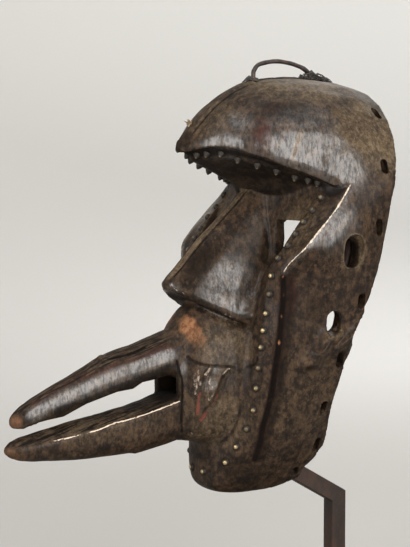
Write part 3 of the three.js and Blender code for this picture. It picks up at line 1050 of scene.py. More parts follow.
GROOVE_SHADE = tuple((x + 1.2, y + 3.2, z) for x, y, z in BAND_GROOVE)
CREST = (
    (73.2, 64.5, 61), (74, 62.4, 58), (75.6, 53.6, 47), (76.8, 41.8, 34.5), (75.8, 26, 18),
    (69.5, 20.4, 10), (65, 18.9, 4.5),
)
BROW_EDGE = (
    (4, -18.2, 79.4), (6.9, -14.8, 80), (11.5, -10.5, 81.3), (21.1, -5, 82.6), (29.1, -0.8, 81.8),
    (36.5, 4.7, 80.3), (41.8, 10.1, 77.8), (47.5, 18.1, 75), (52.8, 29.4, 69.7), (56.2, 38.5, 66.6),
    (60, 47.3, 63), (65.3, 55.9, 58),
)
NOSE_FOLD = (
    (12.2, 27, 41), (12.7, 24.9, 38), (14, 14.3, 25.3), (15.7, 1.3, 8.9), (15.3, -10.8, -1.6),
    (16.2, -16.7, -10.2),
)
BEAK_FOLD = (
    (5.5, -122.3, -74.7), (5.2, -112.6, -69.3), (5.4, -103, -64.5), (6.4, -94.4, -60.7),
    (8.4, -87.1, -59.5), (10.3, -74.3, -55.8), (11.8, -61, -52.7), (12.6, -47.3, -48.4),
    (13.2, -36.8, -45.2),
)
BROW_SCRATCH = (
    (54.9, 38.7, 91.4), (55.6, 35.1, 85.1), (55.7, 31.8, 76.1), (54.3, 30.6, 72),
)
BROW_LINE = (
    (6.6, -16, 87), (6.8, -7.3, 96.4), (6.8, 5, 108.4), (6.6, 17, 116.6), (6.4, 28, 121.5),
)
BROW_LINE_TWO = (
    (10, -10.5, 90), (12.4, -2.9, 98), (15.5, 7.7, 107.1), (15, 24.2, 117.5),
)

# The holes for the costume's ties, and the narrow slots along the rim
TIE_HOLES = (
    Hole((80, 61.6, 15), (1, -0.08, 0), 12.5, 21.5, 1.2, 1.5),
    Hole((74, 53.8, -30), (1, -0.1, -0.15), 10.5, 17, 1.0, 0.4),
)
RIM_SLOTS = (
    Hole((60, 95.5, 109.5), (0.62, 0, 0.78), 5, 10),
    Hole((80, 87.3, 70), (1, 0, 0.15), 5, 10),
    Hole((80, 80.4, 31), (1, 0, 0), 5, 10.5),
    Hole((75, 72.4, -16), (1, 0, -0.15), 5, 10),
    Hole((66, 62.6, -54.5), (1, 0, -0.25), 5, 10),
    Hole((53, 58.2, -86), (1, 0, -0.5), 5, 10),
    Hole((39, 61.4, -112), (1, 0, -0.8), 5, 12),
    Hole((25, 52, -126.5), (0.8, 0, -1), 5, 8),
)
HOLES = TIE_HOLES + RIM_SLOTS

# How far a hole's frame reaches in front of its mouth and behind it
HOLE_FRONT, HOLE_BACK = 9, 18

# The finish's masks, which the mask's mesh carries
MASKS = ("polish", "olive", "bare", "pale", "russet", "pigment", "dirt", "inside", "strokes", "weather")


@dataclass
class CarvedMask:
    """The mask: the CAD solid's shape with its edges eased, its tool marks, carved lines and wear."""

    voxel_mm: float = 1.4
    sharp_degrees: tuple[float, float] = (27.0, 42.0)
    sample_step_mm: float = 0.5
    rounds: int = 30
    blend_rounds: int = 80
    pull_in: float = 0.55
    pull_out: float = -0.57
    blend_pull: float = 0.5
    last_pull: float = 0.35
    rim_crisp: float = 0.8
    brow_lip_mm: float = 1.3
    brow_undercut_mm: float = 1.2
    refine_reach_mm: float = 2.2
    triangles: int = 194_000
    hollow_thinning: float = 0.45
    eye_room: tuple[Point, Point] = ((41, 45, 37), (16, 30, 22))
    mouth_room: tuple[Point, Point] = ((0, -10, -66), (22, 30, 22))
    cuts: tuple[Cut, ...] = (
        Cut(LIP_LINE, 0.8, 0.75, strength=0.7),
        Cut(LEAF_FRONT, 1.5, 1.3, strength=0.3, swell=0.8),
        Cut(LEAF_REAR, 1.6, 1.5, strength=0.3, swell=0.8),
        Cut(PLATE_EDGE, 0.8, 0.7, strength=0.6),
        Cut(MOUTH_CORNER, 0.8, 0.6, strength=0.9),
        Cut(BEAK_CRACK, 0.8, 1.0, side=Side.LEFT, strength=1.0),
        Cut(NOSE_EDGE, 0.8, 0.55, strength=0.85),
        Cut(NOSE_SCRATCH, 0.5, 0.3, side=Side.LEFT, strength=0.7),
        Cut(BAND_GROOVE, 1.5, 1.0, strength=1.0),
        Cut(BROW_LINE, 0.7, 0.4, strength=0.8),
        Cut(BROW_LINE_TWO, 0.6, 0.25, strength=0.45),
    )
    folds: tuple[Fold, ...] = (
        Fold(NOSE_FOLD, 9.0, 0.9),
        Fold(BEAK_FOLD, 5.0, 0.5),
    )
    fillets: tuple[Fillet, ...] = (
        Fillet(((27.7, 5.3, -25.7), (36.9, 13.9, -32.3), (28.5, 20, -11)), -25.9, -9, slope=-0.7),
        Fillet(((27, 2.5, -36), (31, 2.5, -54), (37.5, 13.2, -38)), -58, -31),
    )
    seams: tuple[tuple[Point, ...], ...] = (PLATE_EDGE,)
    lumps: tuple[Lump, ...] = (
        Lump((29.2, -12, -72), 7.5, 1.0),
        Lump((1.5, -76.2, -50.5), 4.5, 1.5, Side.LEFT),
        Lump((17.5, -21, -101), 3.6, -0.9, Side.LEFT),
        Lump((24, -4, -44), 14, 0.8),
        Lump((55.3, 34, 79), 5, -0.35, Side.LEFT),
        Lump((12, 55, 126), 9, -0.6, Side.LEFT),
    )
    dabs: tuple[Dab, ...] = (
        Dab("polish", (30, 1, 86), 24),
        Dab("polish", (57, 39, 84), 34),
        Dab("polish", (70, 58, 66), 20),
        Dab("polish", (25, 5, -8), 27, 0.72),
        Dab("polish", (7, -27, -8), 6, 0.9),
        Dab("polish", (78, 46, 33), 24, 0.7),
        Dab("polish", (30, -9, -58.5), 5, 0.4),
        Dab("polish", (17, -28, -58), 6, 0.5),
        Dab("polish", (29, -13, -70), 8, 0.3),
        Dab("olive", (30, 60, 128), 62, 0.85, flat=(1, 1, 0.42)),
        Dab("olive", (74, 86, 96), 40, 1.0),
        Dab("olive", (12, -2, 101), 24, 0.3),
        Dab("olive", (26, 0, -46), 25, 0.5),
        Dab("olive", (22, -4, -92), 30, 0.42),
        Dab("olive", (52, 30, 38), 30, 0.45),
        Dab("olive", (4, -95, -58), 34, 0.2, flat=(1, 2, 0.35)),
        Dab("olive", (6, -80, -92), 16, 0.35, flat=(1, 5, 1)),
        Dab("olive", (56, 40, -80), 45, 0.1),
        Dab("olive", (0, 28, 45), 22, 0.5, flat=(0.5, 1.4, 1.4)),
        Dab("russet", (45, 15, 96), 9, 1.0, flat=(1, 1, 3)),
        Dab("russet", (46, 22, 112), 15, 0.6),
        Dab("russet", (62, 24, -10), 9, 0.6, flat=(1, 1, 2.4)),
        Dab("bare", (9, -21.5, -28), 9, 0.55),
        Dab("bare", (13, -20.4, -31.5), 11, 0.68),
        Dab("bare", (18, -18.8, -36.5), 11, 0.62),
        Dab("bare", (21, -16.5, -41), 10, 0.5),
        Dab("bare", (2, -134, -86), 9, 0.5),
        Dab("bare", (2, -137, -106), 10, 0.5),
        Dab("bare", (0, 32.5, 123), 5, 0.7),
        Dab("pale", (17.6, -20.9, -101.3), 3.4, 0.38, Side.LEFT),
        Dab("pale", (2, 32.5, 123.5), 2.6, 0.8, Side.LEFT),
        Dab("pale", (24.6, -20.5, -66), 6, 0.37, flat=(1, 1, 3)),
        Dab("pale", (28.2, -13, -72), 6, 0.37, flat=(1, 1, 3)),
        Dab("dirt", (48, 34, 105), 19, 0.55, flat=(1.3, 1.3, 0.55)),
        Dab("dirt", (0, -19, 86), 13, 0.6),
        # Painted shade on the nose's front facet, on the eye under the brow and in the mouth's hollow
        Dab("dirt", (11, -12, 12), 20, 0.75, flat=(0.45, 1.2, 1.4)),
        Dab("dirt", (20, 10, 70), 22, 0.5),
        Dab("dirt", (6, -29, -76), 20, 1.0, flat=(0.7, 0.85, 1)),
        Dab("dirt", (0, 38, 126), 5, 0.8),
        Dab("dirt", (0, 84, 128), 9, 0.8),
        Dab("dirt", (28, 14, -132), 22, 0.5),
        Dab("dirt", (66, 44, -18), 14, 0.4),
    )
    streaks: tuple[Streak, ...] = (
        Streak("pigment", LEAF_FRONT[3:-1], 1.0, 2.1, 0.78),
        Streak("pigment", LEAF_REAR[3:-1], 1.1, 2.4, 0.78),
        # Painted highlight along the nose's lower edge
        Streak("pale", NOSE_LIP, 0.3, 1.1, 0.42),
        Streak("olive", BRIDGE, 2.6, 4.6, 1.0),
        Streak("bare", BRIDGE, 1.0, 4.2, 0.4),
        Streak("polish", CREST, 1.5, 5.0, 1.0),
        # Painted highlights: a thin line along the crest, and on the leaf tips
        Streak("pale", CREST[1:], 0.4, 1.3, 0.58),
        Streak("pale", LEAF_TIP_FRONT, 0.8, 1.9, 0.5),
        Streak("pale", LEAF_TIP_REAR, 0.8, 1.9, 0.5),
        Streak("polish", BROW_EDGE[3:], 4.0, 10.0, 0.95),
        Streak("polish", BEAK_SIDE, 3.0, 8.0, 1.0),
        Streak("russet", BEAK_FOLD, 1.0, 4.5, 0.7),
        # Painted highlight along the lower beak's edge
        Streak("pale", LOWER_EDGE, 0.2, 0.8, 0.85),
        Streak("bare", BROW_SCRATCH, 0.3, 1.6, 0.45, Side.LEFT),
        Streak("olive", BROW_SCRATCH, 0.6, 2.8, 0.9, Side.LEFT),
        Streak("dirt", GROOVE_SHADE, 1.2, 6.5, 0.65),
        Streak("dirt", BAND_GROOVE, 1.3, 3.2, 1.0),
        Streak("russet", BAND_GROOVE, 1.0, 4.0, 0.6),
    )

    def build(self, tacks: "TackRows") -> bpy.types.Object:
        """Makes the piece.

        Args:
            tacks: The tacks, whose heads stand in small rings of grime and painted shadow.

        Returns:
            The piece.
        """
        bm = cad_copy("mask")
        samples, crisp = self.sharp_places(bm)
        solid = BVHTree.FromBMesh(bm)
        mesh = mesh_of(bm, "mask_rough")
        voxels = {"mode": "VOXEL", "voxel_size": self.voxel_mm * MM, "use_smooth_shade": True}
        mesh = modified(mesh, "REMESH", voxels)
        log.info("remeshed: %d faces", len(mesh.polygons))
        self.ease(mesh, solid, samples, crisp)
        self.refine(mesh)
        self.shape_holes(mesh)
        self.carve(mesh)
        mesh = self.thinned(mesh)
        self.paint(mesh, tacks)
        mesh.materials.append(WoodPatina().material())
        return new_piece("mask_carving", mesh, ["mask"])

    def sharp_places(self, bm: bmesh.types.BMesh) -> tuple[np.ndarray, np.ndarray]:
        """Points along the edges that stand out and turn by a clear angle.

        Args:
            bm: The joined CAD mesh.

        Returns:
            The points, and how crisp the edge is at each of them, from 0 to 1.
        """
        low, high = (math.radians(a) for a in self.sharp_degrees)
        samples, crisp = [], []
        for edge in bm.edges:
            angle = edge.calc_face_angle(0.0)
            if len(edge.link_faces) == 2 and edge.is_convex and angle > low:
                a, b = (v.co for v in edge.verts)
                count = max(2, int(edge.calc_length() / (self.sample_step_mm * MM)))
                samples += [a.lerp(b, i / count) for i in range(count + 1)]
                on_rim = max(face.normal.y for face in edge.link_faces) > 0.75
                crisp += [self.rim_crisp if on_rim else min(1.0, (angle - low) / (high - low))] * (count + 1)
        return np.array(samples), np.array(crisp)

    def ease(self, mesh: bpy.types.Mesh, solid: BVHTree, samples: np.ndarray, crisp: np.ndarray) -> None:
        """Takes the flat facets off the surface, keeps its crisp edges and fills its inner corners.

        Args:
            mesh: The remeshed mask.
            solid: The CAD solid's surface.
            samples: Points along the edges that stay crisp.
            crisp: How crisp each of them is.
        """
        places = np.array([solid.find_nearest(v.co)[0] for v in mesh.vertices])
        own = to_own_mm(places)
        inside = self.inner_share(own, normals(mesh))
        mirror = mirrored(own)
        flip = np.where(own[:, 0] < 0, -1.0, 1.0)
        for fillet in self.fillets:
            step = (fillet.depth(mirror) * (inside < 0.5))[:, None] * fillet.facing()
            step[:, 0] *= flip
            places += step * MM

        # The brow's underside, the seams and the temples melt into what lies next to them
        soft = 0.9 * self.under_brow(mirror) * (1 - inside)
        for seam in self.seams:
            soft = np.maximum(soft, 1 - eased(from_line(mirror, smooth_line(seam))[0], 4, 11))
        temple = eased(mirror[:, 0], 66, 72) * eased(own[:, 1], 60, 66) * (1 - eased(own[:, 1], 72, 82))
        soft = np.maximum(soft, temple * (1 - eased(np.abs(own[:, 2] - 55), 14, 24)))

        # The vertices nearest to a crisp edge are laid on it
        free = np.ones(len(own))
        vertices = tree_of(places)
        reached = [vertices.find(sample)[1:] for sample in samples]
        nearest = np.array([index for index, _ in reached])
        gap = np.array([distance for _, distance in reached]) / MM
        firm = (gap < self.voxel_mm) & (soft[nearest] < 0.1)
        order = np.flatnonzero(firm)[np.argsort(-gap[firm])]
        places[nearest[order]] = samples[order]
        free[nearest[order]] = 1 - crisp[order]

        # The facets' edges are smoothed away between the crisp ones
        free, soft = free[:, None], soft[:, None]
        ends = edge_ends(mesh)
        for _ in range(self.rounds):
            places = self.relaxed(places, ends, self.pull_in * free)
            places = self.relaxed(places, ends, self.pull_out * free)
        for _ in range(self.blend_rounds):
            places = self.relaxed(places, ends, self.blend_pull * soft)
        places = self.relaxed(places, ends, self.last_pull * free)
        move_to(mesh, places)

    @staticmethod
    def under_brow(mirror: np.ndarray) -> np.ndarray:
        """Where the strip right under the brow's crisp edge is.

        Args:
            mirror: The places, both sides laid on the left one.

        Returns:
            1 in the strip, 0 above it and further in.
        """
        gap = from_line(mirror, smooth_line(BROW_EDGE))[0]
        below = eased(drop_below(BROW_EDGE, mirror), 0.3, 1.5)
        return below * eased(gap, 0.4, 1.8) * (1 - eased(gap, 6.5, 10))

    @staticmethod
    def hole_frame(hole: Hole, mirror: np.ndarray) -> tuple[np.ndarray, np.ndarray, np.ndarray]:
        """Where places are in a hole's own frame.

        Args:
            hole: The hole.
            mirror: The places, both sides laid on the left one.

        Returns:
            How far each place is from the hole's wall (less than 0 inside it), how deep it is below the
            mouth, and the way from the hole's middle line to it.
        """
        axis = np.array(hole.axis, float)
        axis /= np.linalg.norm(axis)
        across = -np.cross([0, 0, 1], axis)
        across /= np.linalg.norm(across)
        upright = np.cross(axis, across)
        offset = mirror - np.array(hole.place)
        straight = (hole.height - hole.width) / 2
        a, b = offset @ across, offset @ upright
        b -= np.clip(b, -straight, straight)
        away = a[:, None] * across + b[:, None] * upright
        ring = np.hypot(a, b) - hole.width / 2
        depth = -(offset @ axis)
        ring[(depth > HOLE_BACK) | (depth < -HOLE_FRONT)] = FAR
        return ring, depth, away / np.maximum(np.hypot(a, b), 1e-6)[:, None]

    def shape_holes(self, mesh: bpy.types.Mesh) -> None:
        """Makes the side holes' walls true again, the large ones flared at the mouth and narrower inside.

        Args:
            mesh: The smoothed mask.
        """
        places = positions(mesh)
        own = to_own_mm(places)
        flip = np.where(own[:, 0] < 0, -1.0, 1.0)
        mirror = mirrored(own)
        for hole in HOLES:
            ring, depth, away = self.hole_frame(hole, mirror)
            wall = hole.flare * (1 - eased(depth, -0.5, 3.0)) - hole.taper * eased(depth, 1.5, 7.0)
            push = (wall - 0.75 * ring) * (1 - eased(np.abs(ring), 0.9, 2.6))
            step = away * push[:, None]
            step[:, 0] *= flip
            places += step * MM
        move_to(mesh, places)

    @staticmethod
    def relaxed(places: np.ndarray, ends: np.ndarray, share: np.ndarray) -> np.ndarray:
        """Moves every vertex towards the middle of its neighbours.

        Args:
            places: The vertices.
            ends: The two ends of every edge.
            share: How far each one goes, less than 0 to go the other way.

        Returns:
            The new places.
        """
        count = len(places)
        first, second = ends[:, 0], ends[:, 1]
        total = np.bincount(ends.ravel(), minlength=count)[:, None]
        sums = np.stack([
            np.bincount(first, places[second, k], count) + np.bincount(second, places[first, k], count)
            for k in range(3)
        ], axis=1)
        return places + share * (sums / np.maximum(total, 1) - places)

    def refine(self, mesh: bpy.types.Mesh) -> None:
        """Halves the faces near the carved lines and holes, so that they can be cut crisply.

        Args:
            mesh: The mesh.
        """
        own = to_own_mm(positions(mesh))
        mirror = mirrored(own)
        near = np.zeros(len(own), bool)
        lines = [(cut.route, cut.side, cut.half_width) for cut in self.cuts]
        lines += [(LOWER_EDGE, Side.BOTH, 0.3), (CREST, Side.BOTH, 0.0)]
        lines += [(BROW_EDGE, Side.BOTH, 1.0), (BROW_SCRATCH, Side.LEFT, 1.0)]
        for route, side, width in lines:
            distance = from_line(side.places(own, mirror), smooth_line(route))[0]
            near |= distance < self.refine_reach_mm + width
        for hole in HOLES:
            near |= np.abs(self.hole_frame(hole, mirror)[0]) < 1.8
        bm = bmesh.new()
        bm.from_mesh(mesh)
        bm.verts.ensure_lookup_table()
        edges = [e for e in bm.edges if near[e.verts[0].index] and near[e.verts[1].index]]
        bmesh.ops.subdivide_edges(bm, edges=edges, cuts=1, use_grid_fill=True)
        bm.to_mesh(mesh)
        bm.free()

    def thinned(self, mesh: bpy.types.Mesh) -> bpy.types.Mesh:
        """Takes triangles out where they show least: first of all in the hollow.

        Args:
            mesh: The carved mesh, which is used up.

        Returns:
            The lighter mesh.
        """
        triangles = triangle_count(mesh)
        inside = self.inner_share(to_own_mm(positions(mesh)), normals(mesh))
        log.info("before thinning: %d triangles, %.2f inside", triangles, float(inside.mean()))
        carrier = linked("carrier", mesh)
        group = carrier.vertex_groups.new(name="hollow")
        group.add(np.flatnonzero(self.plain_share(mesh, inside) > 0.5).tolist(), 1.0, "REPLACE")
        modifier = carrier.modifiers.new("thin", "DECIMATE")
        modifier.ratio = self.triangles / triangles
        modifier.vertex_group = group.name
        modifier.vertex_group_factor = self.hollow_thinning
        result = result_of(carrier)
        bpy.data.meshes.remove(mesh)
        return modified(result, "DECIMATE", {"ratio": min(1.0, self.triangles / triangle_count(result))})

    def plain_share(self, mesh: bpy.types.Mesh, inside: np.ndarray) -> np.ndarray:
        """Where the hollow is plain wall, well away from its openings.

        Args:
            mesh: The carved mesh.
            inside: 1 on the walls of the hollow and 0 on the face.

        Returns:
            1 on plain wall, 0 elsewhere.
        """
        mirror = mirrored(to_own_mm(positions(mesh)))
        share = inside.copy()
        for hole in HOLES:
            share *= eased(np.abs(self.hole_frame(hole, mirror)[0]), 2.0, 4.0)
        for middle, half_size in (self.eye_room, self.mouth_room):
            share[np.all(np.abs(mirror - np.array(middle)) < np.array(half_size), axis=1)] = 0
        return share

    def carve(self, mesh: bpy.types.Mesh) -> None:
        """Moves the surface in and out: hand-carved unevenness, tool marks, cut lines, lumps and dents.

        Args:
            mesh: The smoothed mask.
        """
        places, outward = positions(mesh), normals(mesh)
        own = to_own_mm(places)
        mirror = mirrored(own)
        inside = self.inner_share(own, outward)

        # The hand's unevenness outside, the gouge's hollows inside
        height = (1 - inside) * (0.26 * ripple(own, 26, seed=1) + 0.12 * ripple(own, 9, seed=2))
        gouges = 0.9 * np.abs(ripple(own, 12, seed=3, stretch=(1, 1, 2.2)))
        height += inside * (gouges + 0.3 * ripple(own, 6, seed=4) - 0.6)

        # Upright strokes of the blade
        strokes = self.stroke_share(own) * (1 - inside)
        long_strokes = strokes * 0.07 * ripple(own, 3.2, seed=5, stretch=(1, 1, 6))
        height += long_strokes + strokes * 0.05 * ripple(own, 1.9, seed=6, stretch=(1, 1, 2.5))

        # The brow's undercut, and its edge that flares out over it
        height -= self.brow_undercut_mm * self.under_brow(mirror) * (1 - inside)
        gap, drop = from_line(mirror, smooth_line(BROW_EDGE))[0], drop_below(BROW_EDGE, mirror)
        lip = self.brow_lip_mm * np.clip(1 - gap / 7.5, 0, 1)
        height += lip * (1 - eased(drop, 0.2, 1.2)) * (1 - inside)

        # Folds, lumps and dents, and the carved lines
        for fold in self.folds:
            distance = from_line(mirror, smooth_line(fold.route))[0]
            height += fold.height * (1 - inside) * np.clip(1 - distance / fold.half_width, 0, 1)
        for lump in self.lumps:
            here = lump.side.places(own, mirror)
            distance = np.linalg.norm(here - np.array(lump.place), axis=1)
            height += lump.height * (1 - eased(distance, 0, lump.radius))
        for cut in self.cuts:
            distance, along, width = cut.beside(own, mirror)
            profile = np.clip(1 - (distance / width) ** 2, 0, 1)
            ends = np.sin(math.pi * np.clip(along, 0.06, 0.94)) ** 0.5
            height -= cut.depth * profile * (0.35 + 0.65 * ends)
        move_to(mesh, places + outward * height[:, None] * MM)

    @staticmethod
    def inner_share(own: np.ndarray, outward: np.ndarray) -> np.ndarray:
        """1 on the walls of the hollow and 0 on the face, from the way each place faces.

        Args:
            own: The places, in the mask's own millimetres.
            outward: Which way the surface faces there.

        Returns:
            The share.
        """
        behind, top = 78.0, 62.0  # the middle line of the hollow, and where its dome starts
        height = np.minimum(own[:, 2], top)
        middle = np.stack([np.zeros(len(own)), np.full(len(own), behind), height], axis=1)
        facing = ((own - middle) * outward).sum(axis=1)
        return 1 - eased(facing, -12, -2)

    @staticmethod
    def stroke_share(own: np.ndarray) -> np.ndarray:
        """Where the upright strokes of the carver's blade show: the brow's front and the nose's sides.

        Args:
            own: The places, in the mask's own millimetres.

        Returns:
            How clearly they show, from 0 to 1.
        """
        x, y, z = np.abs(own[:, 0]), own[:, 1], own[:, 2]
        brow = eased(z, 62, 68) * (1 - eased(z, 96, 106)) * (1 - eased(y, 60, 75)) * eased(x, 14, 24)
        from_nose = np.linalg.norm(np.stack([x - 24, y - 4, z + 12], axis=1), axis=1)
        return np.maximum(brow, 0.8 * (1 - eased(from_nose, 14, 26)))

    def paint(self, mesh: bpy.types.Mesh, tacks: "TackRows") -> None:
        """Gives the mesh the masks that the finish reads.

        Args:
            mesh: The carved mesh.
            tacks: The tacks.
        """
        own, outward = to_own_mm(positions(mesh)), normals(mesh)
        mirror = mirrored(own)
        masks = {name: np.zeros(len(own)) for name in MASKS}
        for dab in self.dabs:
            here = dab.side.places(own, mirror)
            distance = np.linalg.norm((here - np.array(dab.place)) / np.array(dab.flat), axis=1)
            self.lay(masks, dab.mask, dab.strength * (1 - eased(distance, dab.radius * 0.35, dab.radius)))
        for cut in self.cuts:
            distance, _, width = cut.beside(own, mirror)
            past_floor = np.maximum(distance - 0.7 * cut.depth, 0)
            self.lay(masks, cut.colour, cut.strength * (1 - eased(past_floor, width * 0.3, width)))
        for streak in self.streaks:
            distance = from_line(streak.side.places(own, mirror), smooth_line(streak.route))[0]
            self.lay(masks, streak.mask, streak.strength * (1 - eased(distance, streak.inner, streak.outer)))

        # Nicks down to the bare wood in the upper end of the groove
        for nick in BAND_GROOVE[:4]:
            distance = np.linalg.norm((own - np.array(nick)) / np.array([1, 1, 2.5]), axis=1)
            self.lay(masks, "bare", 1 - eased(distance, 0.4, 1.3))
            masks["dirt"] *= eased(distance, 0.4, 1.2)

        # Rings of grime and painted contact shadow round the tacks
        heads = tree_of(tacks.places)
        gap = np.array([heads.find(v.co)[2] for v in mesh.vertices]) / MM
        self.lay(masks, "dirt", 0.75 * (1 - eased(gap, 2.0, 3.6)))

        masks["inside"] = self.inner_share(own, outward)
        masks["strokes"] = self.stroke_share(own)
        self.shade(masks, own, outward)
        for name in ("polish", "olive", "russet", "bare"):
            masks[name] *= 1 - masks["inside"]
        for name, values in masks.items():
            layer = mesh.attributes.new(name, "FLOAT", "POINT")
            layer.data.foreach_set("value", np.clip(values, 0, 1).astype(np.float32))

    @staticmethod
    def lay(masks: dict[str, np.ndarray], name: str, share: np.ndarray) -> None:
        """Raises one of the masks to this share wherever it is lower."""
        masks[name] = np.maximum(masks[name], share)

    def shade(self, masks: dict[str, np.ndarray], own: np.ndarray, outward: np.ndarray) -> None:
        """Adds what lies where the form turns: painted shade under its overhangs, worn hole rims and
        weathered grain.

        Args:
            masks: The masks so far, which are added to.
            own: The places, in the mask's own millimetres.
            outward: Which way the surface faces there.
        """
        mirror = mirrored(own)
        outside = 1 - masks["inside"]

        # Painted shade under the brow, under the tip of the nose and along the beak's underside
        down = eased(-outward[:, 2], 0.15, 0.5) * outside
        below_brow = eased(own[:, 2], 46, 52) * eased(drop_below(BROW_EDGE, mirror), -0.5, 1.5)
        self.lay(masks, "dirt", 0.95 * np.maximum(self.under_brow(mirror), 0.65 * down * below_brow))
        from_nose = np.linalg.norm(mirror - np.array([14, -8, -18]), axis=1)
        self.lay(masks, "dirt", 0.6 * (down * (1 - eased(from_nose, 14, 24))))
        below_gloss = drop_below(BEAK_SIDE, mirror)
        beak_shade = eased(below_gloss, 2.8, 4.2) * (1 - eased(below_gloss, 12, 14.5)) * outside
        beak_shade *= eased(-own[:, 1], 30, 36) * (1 - eased(-own[:, 1], 108, 122))
        self.lay(masks, "dirt", 0.8 * beak_shade)

        # The tie holes' worn rims
        for hole in TIE_HOLES:
            ring, depth = self.hole_frame(hole, mirror)[:2]
            rim = (1 - eased(np.abs(ring - 0.4), 1.0, 2.2)) * (1 - eased(depth, 3.0, 5.0)) * outside
            self.lay(masks, "bare", 0.2 * rim)
            self.lay(masks, "olive", rim)

        # The weathered grain on top of the beak
        masks["weather"] = eased(outward[:, 2], 0.5, 0.7) * eased(-own[:, 1], 28, 38) * outside


# The tacks


@dataclass
class TackRows:
    """The tacks: domed heads down both edges of the face, and pointed ones under the brow.

    A profile is a head's outline, as radius and height in millimetres.
    """

    sides: int = 14
    lift_mm: float = 0.1
    search_from_mm: float = 4
    search_mm: float = 9
    lean: float = 0.07
    worn_below_mm: float = 12
    worn_tarnish: tuple[float, float] = (0.05, 0.7)
    dull_tarnish: tuple[float, float] = (0.55, 0.85)
    face_profile: tuple[tuple[float, float], ...] = (
        (0.0, 2.1), (0.75, 2.0), (1.35, 1.7), (1.85, 1.2), (2.2, 0.62), (2.38, 0.22), (2.4, 0.0),
        (1.9, -0.3), (0.0, -0.3),
    )
    brow_profile: tuple[tuple[float, float], ...] = (
        (0.0, 3.2), (0.5, 3.0), (1.1, 2.4), (1.75, 1.5), (2.25, 0.65), (2.5, 0.2), (2.5, 0.0),
        (1.9, -0.3), (0.0, -0.3),
    )
    places: list[Vector] = field(default_factory=list)
    axes: dict[str, tuple[Vector, Vector]] = field(default_factory=dict)

    def __post_init__(self) -> None:
        """Reads from the CAD nodes where each tack sits and which way it faces."""
        for name, node in sorted(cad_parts.items()):
            if "_tack_" not in name:
                continue
            spots = positions(node.data)
            top_and_base = np.unique(spots.round(7), axis=0)
            middle = top_and_base.mean(axis=0)
            spread = np.linalg.svd(top_and_base - middle)[2]
            self.axes[name] = self.base_and_axis(top_and_base, middle, spread)
            self.places.append(self.axes[name][0])

    @staticmethod
    def base_and_axis(spots: np.ndarray, middle: np.ndarray, spread: np.ndarray) -> tuple[Vector, Vector]:
        """The middle of a tack's flat side and the way its dome points.

        Args:
            spots: The tack's corners.
            middle: Their middle.
            spread: Their main directions, of which one is the tack's axis.

        Returns:
            The place and the direction.
        """
        same_height = 2e-5
        best = None
        for direction in spread:
            for way in (direction, -direction):
                reach = (spots - middle) @ way
                at_base = np.sum(np.abs(reach - reach.min()) < same_height)
                at_top = np.sum(np.abs(reach - reach.max()) < same_height)
                if best is None or at_base - at_top > best[0]:
                    best = (at_base - at_top, way, reach.min())
        _, axis, base = best
        return Vector(middle + axis * base), Vector(axis).normalized()

    def head(self, profile: Sequence[tuple[float, float]]) -> bpy.types.Mesh:
        """One tack's head, upright at the origin.

        Args:
            profile: Its outline, as radius and height in millimetres.

        Returns:
            The mesh, with the height over its rim as the attribute "dome".
        """
        bm = turned([(radius * MM, height * MM) for radius, height in profile], self.sides)
        top = max(height for _, height in profile) * MM
        dome = bm.verts.layers.float.new("dome")
        bm.verts.layers.float.new("tarnish")
        for vert in bm.verts:
            vert[dome] = max(0.0, vert.co.z / top)
        return mesh_of(bm, "head")

    def build(self, carving: bpy.types.Object) -> None:
        """Makes the two rows' pieces, each head set on the carved surface.

        Args:
            carving: The carved mask.
        """
        wood = BVHTree.FromObject(carving, bpy.context.evaluated_depsgraph_get())
        brass = TackBrass().material()
        draw = np.random.default_rng(11)
        for row, profile in (("face", self.face_profile), ("brow", self.brow_profile)):
            names = [name for name in self.axes if name.startswith(row)]
            head = self.head(profile)
            bm = bmesh.new()
            for name in names:
                place, axis = self.axes[name]
                start = place + axis * self.search_from_mm * MM
                hit = wood.ray_cast(start, -axis, self.search_mm * MM)[0]
                seat = (hit or place) + axis * self.lift_mm * MM
                lean = (axis + Vector(draw.normal(0, self.lean, 3))).normalized()
                turn = Vector((0, 0, 1)).rotation_difference(lean).to_matrix().to_4x4()
                one = head.copy()
                one.transform(Matrix.Translation(seat) @ turn)
                height_mm = (place.z - MASK_ORIGIN.z) / MM
                worn = height_mm < self.worn_below_mm
                tarnish = float(draw.uniform(*(self.worn_tarnish if worn else self.dull_tarnish)))
                one.attributes["tarnish"].data.foreach_set("value", [tarnish] * len(one.vertices))
                bm.from_mesh(one)
                bpy.data.meshes.remove(one)
            bpy.data.meshes.remove(head)
            mesh = mesh_of(bm, row)
            mesh.materials.append(brass)
            new_piece(f"{row}_tack_heads", mesh, names)


# The crown's wire loop, its lashing and the forehead's tuft


